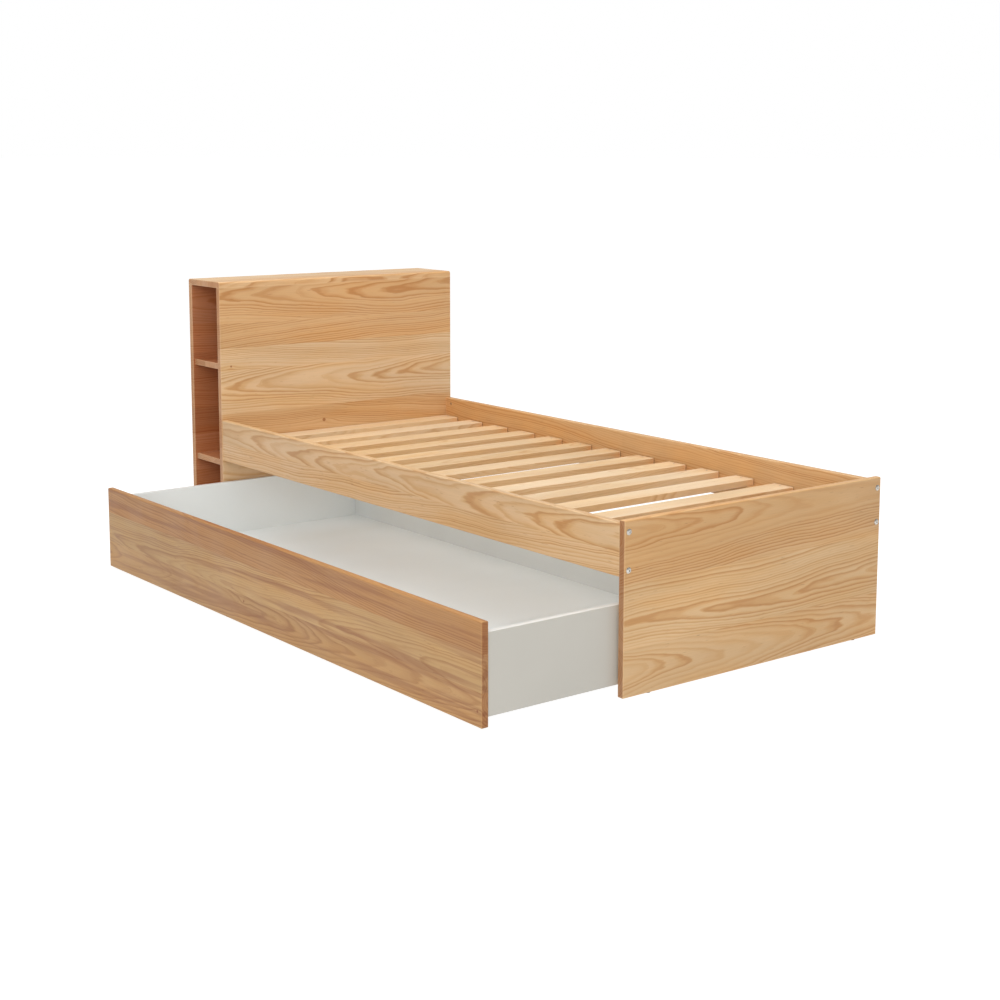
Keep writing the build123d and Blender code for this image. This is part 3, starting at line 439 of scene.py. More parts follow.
@dataclass(frozen=True)
class PineFinish:
    """Planed pine under clear lacquer."""

    name: str
    pale: Colour
    body: Colour
    late: Colour
    knot: Colour
    warm: Colour
    # Tint of the faces along the staves' axis; on the slats it is painted shade between neighbouring slats.
    side: Colour = srgb(255, 255, 255)
    cut: Colour = srgb(228, 203, 194)
    golden: Colour = srgb(255, 243, 219)
    # Painted shade on the faces inside the headboard's box.
    painted_recess_shade: Colour = srgb(223, 176, 160)
    ring: float = 0.0072
    taper: float = 0.12
    ring_contrast: float = 1.0
    stave_contrast: float = 0.70
    streaks: float = 0.0
    knots: float = 0.22
    roughness: float = 0.46
    coat: float = 0.08

    # Where a stave's pith may lie, in metres. Flat-sawn staves have it aside by a share of their width.
    PITH_REACH = 0.20
    PITH_DEPTH = 0.10
    STRAIGHT_ASIDE = (0.07, 0.12)
    STRAIGHT_DEPTH = (0.0, 0.02)
    FLAT_ASIDE = (-0.3, 0.3)
    FLAT_DEPTH = (0.03, 0.06)
    PITH_WANDER = Swing(1.9, 0.015, 1.0)
    PITH_DIP = Swing(1.5, 0.006, 1.0)
    DIP_STRETCH = (1.0, 1.0, 3.0)

    # A stave's shift lies in the lowest or the highest quarter, so that it tapers one way or the other.
    SHIFT_STARTS = (0.0, 0.75)
    SHIFT_SPREAD = 0.25

    # How far apart staves, boards and rings read the noise.
    STAVE_STEP = 31.7
    BOARD_STEP = 1.37
    RING_STEP = 3.1

    # The rings: waves in their radius, good and poor years, and darkness from one year to the next.
    RING_WAVES = (((3.4, 13.0, 13.0), 0.0034), ((9.0, 42.0, 42.0), 0.0017))
    YEARS_SCALE = 26.0
    YEARS = Swing(1.0, 0.9, 1.0)
    RING_STRENGTH = Step(0.0, 1.0, 0.30, 1.0)
    RING_PROFILE = (
        (0.00, 0.48), (0.10, 0.08), (0.38, 0.12), (0.64, 0.45), (0.84, 0.88), (0.93, 0.84), (1.00, 0.48),
    )
    BODY_AT = 0.42
    WARMTH = Step(0.15, 1.0)

    CLOUDS = Layer((1.4, 6.0, 6.0), 2.0)
    CLOUD_SHADE = Step(0.32, 0.68, 0.94, 1.06)
    GOLD = Layer((2.3, 11.0, 11.0), 3.0)
    GOLD_SHARE = Step(0.42, 0.66, 0.0, 0.6)
    STREAKS = Layer((1.1, 34.0, 34.0), 3.0, 0.6)
    STREAK_SHARE = Step(0.48, 0.63)
    STREAK_TONE = 1.05
    FIBRES = Layer((14.0, 620.0, 620.0), 2.0, 0.6)
    FIBRE_SHADE = Step(0.25, 0.75, 0.955, 1.04)
    FLECKS = Layer((26.0, 330.0, 330.0), 1.0)
    FLECK_SHARE = Step(0.70, 0.78, 0.0, 0.45)

    # How squarely a face must point one way to count as facing it, and what its tint then weighs.
    FACING = Step(0.55, 0.95)
    CUT_SHARE = 0.9
    CORNER = Step(0.0006, 0.0042, 1.0, 0.0)
    # The lighter rounded edges are partly wear and partly a painted highlight.
    EDGE_WEAR_AND_HIGHLIGHT_SHARE = 0.22
    EDGE_WEAR_AND_HIGHLIGHT_TONE = 1.12

    # Lacquer: patches, thirsty cut ends and smooth late wood.
    PATCH_SCALE = 9.0
    PATCH_ROUGHNESS = Step(0.3, 0.7, -0.05, 0.06)
    CUT_ROUGHNESS = 0.16
    LATE_GLOSS = 0.05
    COAT_ROUGHNESS = 0.22
    SPECULAR = 0.36
    FIBRE_HEIGHT = 0.7
    LATE_HEIGHT = 0.35
    RELIEF = Relief(0.00022, 0.55)

    # Knots: radii in metres, their rings, and how far the wood's own rings swell round them.
    KNOTS_PER_METRE = 2.7
    KNOT_SCATTER = 0.9
    KNOT_DRAW = (1.0, 1.02)
    KNOT_RADII = Step(0.0, 1.0, 0.0035, 0.0085)
    KNOT_WOBBLE = Swing(170.0, 0.10)
    KNOT_EDGE = Step(0.75, 1.15, 1.0, 0.0)
    KNOT_RINGS = 2.6
    KNOT_TONES = (1.25, 0.72)
    KNOT_SHARE = 0.85
    SWELL_STRETCH = 0.42
    SWELL_SPREAD = 7.0
    SWELL_HEIGHT = 1.5

    def stave_table(self, g: Graph, board: Board, v: Socket) -> bpy.types.Node:
        """A constant ramp that gives each stave its tone, pith place, pith depth and shift.

        Args:
            g: The material's graph.
            board: The board.
            v: Place across the board.

        Returns:
            The ramp node.
        """
        dice = random.Random(board.seed * 7 + 1)
        low, high = board.low[board.staves.value], board.high[board.staves.value]
        span = high - low
        staves = board.all_staves()
        stops = []
        for stave, after in zip(staves, [*staves[1:], Stave(high, 0.0, Figure.MIXED)]):
            straight = stave.figure is Figure.STRAIGHT
            width = after.start - stave.start
            aside = dice.uniform(*self.STRAIGHT_ASIDE) if straight else dice.uniform(*self.FLAT_ASIDE) * width
            depth = dice.uniform(*(self.STRAIGHT_DEPTH if straight else self.FLAT_DEPTH))
            depth *= dice.choice((-1, 1))
            pith = stave.start + width / 2 + aside
            stops.append(((stave.start - low) / span, (
                stave.warmth,
                (pith - low + self.PITH_REACH) / (span + 2 * self.PITH_REACH),
                (depth + self.PITH_DEPTH) / (2 * self.PITH_DEPTH),
                dice.choice(self.SHIFT_STARTS) + dice.uniform(0.0, self.SHIFT_SPREAD),
            )))
        if len(stops) == 1:
            stops.append((1.0, stops[0][1]))
        share = g.math("DIVIDE", g.less(v, low), span)
        return g.ramp(share, stops, "CONSTANT")

    def material(self, board: Board) -> bpy.types.Material:
        """Build the wood of one board.

        Args:
            board: The board.

        Returns:
            Its material.
        """
        g = Graph(f"{self.name}_{board.seed}")
        axes = g.split(g.place.outputs["Object"])
        u, v, w = (axes[axis.value] for axis in (board.grain, board.staves, board.through))
        facing = g.split(g.place.outputs["Normal"])
        across_low, across_high = (p[board.staves.value] for p in (board.low, board.high))
        span = across_high - across_low
        middle = (board.low[board.through.value] + board.high[board.through.value]) / 2

        table = self.stave_table(g, board, v)
        channels = g.node("ShaderNodeSeparateColor")
        g.feed(channels.inputs[0], table.outputs[0])
        tone, pith_v, pith_w = channels.outputs[0], channels.outputs[1], channels.outputs[2]
        shift = table.outputs[1]

        # Each stave reads the noise in a place of its own.
        offset = g.add(g.times(shift, self.STAVE_STEP), board.seed * self.BOARD_STEP)
        here = g.join(g.add(u, offset), v, w)
        along = g.join(g.add(u, offset), offset, 0.0)

        # Place relative to the pith, which wanders along the tree.
        v_pith = g.add(g.times(pith_v, span + 2 * self.PITH_REACH), across_low - self.PITH_REACH)
        w_pith = g.add(g.times(pith_w, 2 * self.PITH_DEPTH), middle - self.PITH_DEPTH)
        dv = g.add(g.less(v, v_pith), g.swing(along, *self.PITH_WANDER))
        dw = g.add(g.less(w, w_pith), g.swing(g.stretch(along, self.DIP_STRETCH), *self.PITH_DIP))
        radius = g.math("SQRT", g.add(g.times(dv, dv), g.times(dw, dw)))
        radius = g.add(radius, g.times(u, g.times(g.less(shift, 0.5), self.taper)))
        for stretch, reach in self.RING_WAVES:
            radius = g.add(radius, g.swing(g.stretch(here, stretch), 1.0, reach))

        # Knots: where one sits, the rings swell round it.
        knot_mask, knot_shade, swell = self.knot_field(g, u, v, offset)
        radius = g.add(radius, swell)

        # Good and poor years: the rings stand closer in some places than in others.
        uneven = g.swing(g.join(g.times(radius, self.YEARS_SCALE), offset), *self.YEARS)
        phase = g.add(g.math("DIVIDE", radius, self.ring), uneven)
        ring = g.math("FLOOR", phase)
        part = g.math("FRACT", phase)
        strength = g.rise(g.chance(g.add(ring, board.seed * self.RING_STEP)), *self.RING_STRENGTH)
        profile = [(place, grey(level)) for place, level in self.RING_PROFILE]
        grown = g.ramp(part, profile, "EASE").outputs[0]
        late = g.times(g.times(grown, strength), self.ring_contrast)

        tones = [(0.0, self.pale), (self.BODY_AT, self.body), (1.0, self.late)]
        colour = g.ramp(late, tones).outputs[0]
        warmth = g.times(g.rise(tone, *self.WARMTH), self.stave_contrast)
        colour = g.tint(warmth, colour, self.warm)

        # Broad clouds, golden patches, long reddish streaks, fibres and short resin flecks.
        colour = g.shade(colour, g.rise(g.layer(here, self.CLOUDS), *self.CLOUD_SHADE))
        colour = g.tint(g.rise(g.layer(here, self.GOLD), *self.GOLD_SHARE), colour, self.golden)
        if self.streaks:
            amount = g.times(g.rise(g.layer(here, self.STREAKS), *self.STREAK_SHARE), self.streaks)
            colour = g.blend(amount, colour, scaled(self.knot, self.STREAK_TONE))
        fibre = g.layer(here, self.FIBRES)
        colour = g.shade(colour, g.rise(fibre, *self.FIBRE_SHADE))
        colour = g.blend(g.rise(g.layer(here, self.FLECKS), *self.FLECK_SHARE), colour, self.knot)
        colour = g.blend(knot_mask, colour, knot_shade)

        # Cut ends drink lacquer and turn darker. On the slats the faces between neighbours get painted shade,
        # faces inside the headboard's box get painted shade, and rounded edges are lighter: partly wear,
        # partly a painted highlight.
        end = g.rise(g.math("ABSOLUTE", facing[board.grain.value]), *self.FACING)
        colour = g.tint(g.times(end, self.CUT_SHARE), colour, self.cut)
        # On the slats, faces toward the neighbouring slats get painted shade.
        flank_shade_share = g.rise(g.math("ABSOLUTE", facing[board.staves.value]), *self.FACING)
        colour = g.tint(flank_shade_share, colour, self.side)
        # Faces inside the headboard's box get painted shade.
        for way in board.inside:
            recess_shade_share = g.rise(g.times(facing[board.through.value], way), *self.FACING)
            colour = g.tint(recess_shade_share, colour, self.painted_recess_shade)
        # Rounded edges lighter: partly wear, partly a painted highlight.
        corner = g.times(self.corner_mask(g, board, axes), self.EDGE_WEAR_AND_HIGHLIGHT_SHARE)
        colour = g.blend(corner, colour, scaled(self.pale, self.EDGE_WEAR_AND_HIGHLIGHT_TONE))

        patches = g.rise(g.noise(here, self.PATCH_SCALE), *self.PATCH_ROUGHNESS)
        rough = g.add(g.add(patches, self.roughness), g.times(end, self.CUT_ROUGHNESS))
        rough = g.less(rough, g.times(late, self.LATE_GLOSS))
        height = g.add(g.times(fibre, self.FIBRE_HEIGHT), g.times(late, self.LATE_HEIGHT))
        return g.surface(
            Base_Color=colour,
            Roughness=rough,
            Coat_Weight=self.coat,
            Coat_Roughness=self.COAT_ROUGHNESS,
            Specular_IOR_Level=self.SPECULAR,
            Normal=g.bump(height, *self.RELIEF),
        )

    def knot_field(self, g: Graph, u: Socket, v: Socket, offset: Socket) -> tuple[Socket, Socket, Socket]:
        """Scattered knots.

        Args:
            g: The material's graph.
            u: Place along the grain.
            v: Place across the board.
            offset: The stave's own shift.

        Returns:
            Where knots show, their colour, and how far they push the rings out, in metres.
        """
        scale = self.KNOTS_PER_METRE
        cells = g.node("ShaderNodeTexVoronoi", voronoi_dimensions="2D")
        cells.inputs["Scale"].default_value = 1.0
        cells.inputs["Randomness"].default_value = self.KNOT_SCATTER
        spot = g.join(g.times(g.add(u, offset), scale), g.times(g.add(v, offset), scale))
        g.feed(cells.inputs["Vector"], spot)
        centre = g.split(cells.outputs["Position"])
        draws = g.split(cells.outputs["Color"])
        du = g.less(g.add(u, offset), g.math("DIVIDE", centre[0], scale))
        dv = g.less(g.add(v, offset), g.math("DIVIDE", centre[1], scale))
        present = g.rise(draws[0], *(edge - self.knots for edge in self.KNOT_DRAW))
        size = g.rise(draws[1], *self.KNOT_RADII)
        flat = g.math("SQRT", g.add(g.times(du, du), g.times(dv, dv)))
        ratio = g.math("DIVIDE", flat, size)
        wobble = g.swing(g.join(u, v), *self.KNOT_WOBBLE)
        mask = g.times(g.rise(g.add(ratio, wobble), *self.KNOT_EDGE), present)
        lighter, darker = (scaled(self.knot, tone) for tone in self.KNOT_TONES)
        turn = g.math("FRACT", g.times(ratio, self.KNOT_RINGS))
        shade = g.ramp(turn, [(0.0, self.knot), (0.5, lighter), (1.0, darker)]).outputs[0]
        long_u = g.times(du, self.SWELL_STRETCH)
        eye = g.add(g.times(long_u, long_u), g.times(dv, dv))
        spread = g.math("DIVIDE", eye, g.times(g.times(size, size), self.SWELL_SPREAD))
        swell = g.math("EXPONENT", g.times(spread, -1.0))
        swell = g.times(g.times(swell, g.times(size, self.SWELL_HEIGHT)), present)
        return g.times(mask, self.KNOT_SHARE), shade, swell

    def corner_mask(self, g: Graph, board: Board, axes: tuple[Socket, Socket, Socket]) -> Socket:
        """Where the surface is near one of the board's rounded edges.

        Args:
            g: The material's graph.
            board: The board.
            axes: The three coordinates.

        Returns:
            1 at an edge, 0 away from it.
        """
        near = []
        for axis in Axis:
            low, high = board.low[axis.value], board.high[axis.value]
            away = g.less((high - low) / 2, g.math("ABSOLUTE", g.less(axes[axis.value], (low + high) / 2)))
            near.append(g.rise(away, *self.CORNER))
        pairs = g.add(g.times(near[0], near[1]), g.add(g.times(near[1], near[2]), g.times(near[0], near[2])))
        return g.math("MINIMUM", pairs, 1.0)


# ---------------------------------------------------------------- other finishes
@dataclass(frozen=True)
class MelamineFinish:
    """White melamine-faced chipboard with a banded edge."""

    name: str = "white_melamine"
    face: Colour = srgb(230, 235, 235)
    # Painted shade: the faces that point out of the drawer are darker.
    outer_painted_shade: Colour = srgb(205, 201, 191)
    band: Colour = srgb(220, 219, 215)
    roughness: float = 0.46

    CLOUDS = Speckle(3.0, 3.0)
    CLOUD_SHADE = Step(0.3, 0.7, 0.975, 1.015)
    PEARL = Speckle(1400.0, 2.0, 0.6)
    PEARL_SHADE = Step(0.3, 0.7, 0.985, 1.01)
    FACING = Step(0.35, 0.8)
    EDGEWISE = Step(0.35, 0.8, 1.0, 0.0)
    SCUFFS = Layer((30.0, 210.0, 90.0), 3.0)
    SCUFF_ROUGHNESS = Step(0.62, 0.75, 0.0, 0.10)
    BAND_ROUGHNESS = -0.06
    SPECULAR = 0.4
    RELIEF = Relief(0.00008, 0.5)

    def material(self, low: Vector, high: Vector, outward: int) -> bpy.types.Material:
        """Build the board's material.

        Args:
            low: The board's lowest corner.
            high: Its highest corner.
            outward: Which way, -1 or 1, its thickness points out of the drawer.

        Returns:
            The material.
        """
        g = Graph(self.name)
        place = g.place.outputs["Object"]
        cloud = g.rise(g.noise(place, *self.CLOUDS), *self.CLOUD_SHADE)
        pearl = g.noise(place, *self.PEARL)
        tint = g.times(cloud, g.rise(pearl, *self.PEARL_SHADE))
        thin = min(Axis, key=lambda axis: high[axis.value] - low[axis.value])
        facing = g.split(g.place.outputs["Normal"])[thin.value]
        # Outward faces get the darker colour: painted shade.
        paper = g.blend(g.rise(g.times(facing, outward), *self.FACING), self.face, self.outer_painted_shade)
        edge = g.rise(g.math("ABSOLUTE", facing), *self.EDGEWISE)
        colour = g.blend(edge, g.shade(paper, tint), g.shade(self.band, cloud))
        scuff = g.rise(g.layer(place, self.SCUFFS), *self.SCUFF_ROUGHNESS)
        rough = g.add(g.add(self.roughness, scuff), g.times(edge, self.BAND_ROUGHNESS))
        return g.surface(
            Base_Color=colour,
            Roughness=rough,
            Specular_IOR_Level=self.SPECULAR,
            Normal=g.bump(pearl, *self.RELIEF),
        )


@dataclass(frozen=True)
class MetalFinish:
    """Plated or cast metal for the fittings."""

    name: str
    bright: Colour
    dull: Colour
    roughness: float
    spangle: float = 0.0

    CLOUDS = Speckle(260.0, 3.0, 0.6)
    CLOUD_SHARE = Step(0.35, 0.65)
    SPANGLE_SCALE = 420.0
    SCRATCHES = Layer((3000.0, 300.0, 300.0), 2.0)
    SCRATCH_ROUGHNESS = Step(0.3, 0.7, -0.06, 0.08)
    RELIEF = Relief(0.00003, 0.4)

    def material(self) -> bpy.types.Material:
        """Build the metal.

        Returns:
            The material.
        """
        g = Graph(self.name)
        place = g.place.outputs["Object"]
        cloud = g.rise(g.noise(place, *self.CLOUDS), *self.CLOUD_SHARE)
        if self.spangle:
            cells = g.node("ShaderNodeTexVoronoi")
            cells.inputs["Scale"].default_value = self.SPANGLE_SCALE
            g.feed(cells.inputs["Vector"], place)
            cloud = g.blend(self.spangle, g.join(cloud, cloud, cloud), cells.outputs["Color"])
            cloud = g.split(cloud)[0]
        colour = g.blend(cloud, self.bright, self.dull)
        scratch = g.layer(place, self.SCRATCHES)
        rough = g.add(self.roughness, g.rise(scratch, *self.SCRATCH_ROUGHNESS))
        return g.surface(
            Base_Color=colour,
            Metallic=1.0,
            Roughness=rough,
            Normal=g.bump(scratch, *self.RELIEF),
        )


@dataclass(frozen=True)
class PlasticFinish:
    """Moulded plastic, faintly pitted, with dust in patches."""

    name: str
    colour: Colour
    dust: Colour
    roughness: float

    PITS = Speckle(1800.0, 2.0, 0.6)
    CLOUDS = Speckle(90.0, 3.0)
    DUST_SHARE = Step(0.45, 0.75, 0.0, 0.30)
    DUST_ROUGHNESS = Step(0.35, 0.7, -0.04, 0.10)
    RELIEF = Relief(0.00006, 0.6)

    def material(self) -> bpy.types.Material:
        """Build the plastic.

        Returns:
            The material.
        """
        g = Graph(self.name)
        place = g.place.outputs["Object"]
        pits = g.noise(place, *self.PITS)
        cloud = g.noise(place, *self.CLOUDS)
        colour = g.blend(g.rise(cloud, *self.DUST_SHARE), self.colour, self.dust)
        rough = g.add(self.roughness, g.rise(cloud, *self.DUST_ROUGHNESS))
        return g.surface(Base_Color=colour, Roughness=rough, Normal=g.bump(pits, *self.RELIEF))


FRAME_PINE = PineFinish(
    name="frame_pine",
    pale=srgb(222, 191, 151),
    body=srgb(210, 170, 123),
    late=srgb(190, 140, 87),
    knot=srgb(154, 98, 56),
    warm=srgb(234, 212, 180),
)
FOOT_PINE = replace(
    FRAME_PINE,
    name="foot_pine",
    pale=srgb(228, 191, 143),
    body=srgb(217, 170, 115),
    late=srgb(197, 141, 82),
    cut=srgb(192, 171, 168),
    stave_contrast=0.50,
)
SLAT_PINE = PineFinish(
    name="slat_pine",
    pale=srgb(227, 202, 168),
    body=srgb(219, 188, 150),
    late=srgb(202, 160, 114),
    knot=srgb(168, 112, 70),
    warm=srgb(240, 228, 206),
    # Painted shade on the slats' sides, between neighbouring slats.
    side=srgb(252, 238, 220),
    ring=0.0050,
    ring_contrast=0.75,
    knots=0.25,
    roughness=0.52,
    coat=0.0,
)
DRAWER_PINE = PineFinish(
    name="drawer_pine",
    pale=srgb(197, 157, 104),
    body=srgb(184, 140, 87),
    late=srgb(156, 105, 58),
    knot=srgb(138, 80, 43),
    warm=srgb(238, 208, 178),
    cut=srgb(224, 204, 202),
    ring=0.0068,
    ring_contrast=0.85,
    stave_contrast=0.75,
    streaks=0.50,
    knots=0.3,
)
BEECH = PineFinish(
    name="beech",
    pale=srgb(222, 190, 152),
    body=srgb(212, 176, 136),
    late=srgb(196, 152, 110),
    knot=srgb(170, 120, 84),
    warm=srgb(240, 224, 206),
    ring=0.0022,
    ring_contrast=0.5,
    knots=0.0,
    roughness=0.6,
    coat=0.0,
)
MELAMINE = MelamineFinish()
NICKEL = MetalFinish("nickel_steel", srgb(214, 210, 202), srgb(176, 172, 165), 0.24)
ZINC = MetalFinish("zinc_steel", srgb(196, 200, 205), srgb(150, 154, 160), 0.34, spangle=0.5)
ZINC_ALLOY = MetalFinish("zinc_alloy", srgb(182, 182, 180), srgb(150, 150, 150), 0.45)
CASTOR_PLASTIC = PlasticFinish("castor_plastic", srgb(42, 42, 44), srgb(92, 88, 82), 0.42)
GLIDE_PLASTIC = PlasticFinish("glide_plastic", srgb(120, 92, 66), srgb(150, 132, 110), 0.5)


def dress(node: bpy.types.Object, material: bpy.types.Material) -> None:
    """Give a CAD node its material in every slot.

    Args:
        node: The node's object.
        material: The material.
    """
    node.data.materials.clear()
    node.data.materials.append(material)
    log.info("dressed %s in %s", node.name, material.name)


# ---------------------------------------------------------------- sub-assemblies
@dataclass
class Assembly:
    """A group of CAD nodes that are dressed together."""

    nodes: dict[str, bpy.types.Object]

    def board(self, name: str, finish: PineFinish, grain: Axis, staves: Axis, seed: int, **how: Any) -> None:
        """Dress one wooden node.

        Args:
            name: The CAD node.
            finish: Its finish.
            grain: Which way its grain runs.
            staves: Which way its staves lie side by side.
            seed: Makes its figure its own.
            **how: Other fields of Board.
        """
        low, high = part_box(name)
        board = Board(low, high, grain, staves, seed, **how)
        dress(self.nodes[name], finish.material(board))


@dataclass
class Headboard(Assembly):
    """The shelved box at the head."""

    front_staves: tuple[Stave, ...] = (
        Stave(0.003, 0.4, Figure.CATHEDRAL),
        Stave(0.112, 0.7, Figure.STRAIGHT),
        Stave(0.231, 0.2, Figure.CATHEDRAL),
        Stave(0.345, 0.8, Figure.STRAIGHT),
        Stave(0.459, 0.15, Figure.CATHEDRAL),
        Stave(0.605, 0.05, Figure.STRAIGHT),
        Stave(0.679, 1.0, Figure.STRAIGHT),
        Stave(0.763, 0.9, Figure.CATHEDRAL),
    )

    def build(self) -> None:
        """Dress the panels, the top board and the shelves."""
        # inside= gives the faces inside the box painted shade.
        self.board(
            "headboard_front_panel", FRAME_PINE, Axis.WIDTH, Axis.HEIGHT, seed=11,
            chosen=self.front_staves, inside=(-1,),
        )
        self.board("headboard_back_panel", FRAME_PINE, Axis.WIDTH, Axis.HEIGHT, seed=12, inside=(1,))
        self.board(
            "headboard_top_board", FRAME_PINE, Axis.WIDTH, Axis.LENGTH, seed=13,
            stave_width=0.075, inside=(-1,),
        )
        for seed, level in enumerate(("upper", "lower", "base"), start=14):
            self.board(
                f"headboard_{level}_shelf", FRAME_PINE, Axis.WIDTH, Axis.LENGTH, seed,
                stave_width=0.09, inside=(-1, 1),
            )


@dataclass
class BedFrame(Assembly):
    """Footboard, side rails and the ledges under the slats."""

    near_rail_staves: tuple[Stave, ...] = (
        Stave(0.306, 0.45, Figure.STRAIGHT),
        Stave(0.368, 0.40, Figure.CATHEDRAL),
    )

    def build(self) -> None:
        """Dress the footboard, the rails and the ledges."""
        self.board(
            "footboard", FOOT_PINE, Axis.WIDTH, Axis.HEIGHT, seed=21,
            stave_width=0.15, figure=Figure.CATHEDRAL,
        )
        self.board(
            "side_rail_near", FRAME_PINE, Axis.LENGTH, Axis.HEIGHT, seed=22,
            chosen=self.near_rail_staves,
        )
        self.board(
            "side_rail_far", FRAME_PINE, Axis.LENGTH, Axis.HEIGHT, seed=23,
            stave_width=0.2, figure=Figure.STRAIGHT,
        )
        for seed, side in enumerate(("near", "far"), start=24):
            self.board(f"slat_ledge_{side}", FRAME_PINE, Axis.LENGTH, Axis.HEIGHT, seed, stave_width=0.1)


@dataclass
class SlattedBase(Assembly):
    """The row of slats."""

    def build(self) -> None:
        """Dress each slat in wood of its own."""
        names = sorted(name for name in self.nodes if name.startswith("slat_") and name[5:].isdigit())
        for seed, name in enumerate(names, start=31):
            self.board(name, SLAT_PINE, Axis.WIDTH, Axis.LENGTH, seed, stave_width=0.1)


@dataclass
class Drawer(Assembly):
    """The full-length drawer."""

    # Each board's outward way, whose face gets painted shade.
    melamine_nodes: tuple[tuple[str, int], ...] = (
        ("drawer_end_head", -1), ("drawer_end_foot", 1), ("drawer_back", 1), ("drawer_bottom", -1),
    )
    front_staves: tuple[Stave, ...] = (
        Stave(0.007, 0.50, Figure.CATHEDRAL),
        Stave(0.092, 0.25, Figure.CATHEDRAL),
        Stave(0.185, 0.85, Figure.STRAIGHT),
    )

    def build(self) -> None:
        """Dress the front and the white boards."""
        self.board("drawer_front", DRAWER_PINE, Axis.LENGTH, Axis.HEIGHT, seed=51, chosen=self.front_staves)
        for name, outward in self.melamine_nodes:
            low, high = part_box(name)
            dress(self.nodes[name], MELAMINE.material(low, high, outward))


@dataclass
class Fittings(Assembly):
    """Dowels, bolts, screws, cams, brackets and glides."""

    metals: dict[MetalFinish, tuple[str, ...]] = field(default_factory=lambda: {
        NICKEL: ("foot_bolts", "head_bolts", "barrel_nuts"),
        ZINC: ("slat_screws", "ledge_screws", "bracket_screws", "castor_screws", "castor_axles",
               "cam_bolts", "drawer_brackets"),
        ZINC_ALLOY: ("cam_locks",),
    })

    def build(self) -> None:
        """Dress every fitting."""
        for finish, names in self.metals.items():
            material = finish.material()
            for name in names:
                dress(self.nodes[name], material)
        housings = [name for name in self.nodes if name.startswith("castor_housing")]
        steel = ZINC.material()
        for name in sorted(housings):
            dress(self.nodes[name], steel)
        for seed, name in enumerate(("box_dowels", "drawer_dowels", "rail_dowels"), start=61):
            self.board(name, BEECH, Axis.LENGTH, Axis.HEIGHT, seed)
        dress(self.nodes["glides"], GLIDE_PLASTIC.material())


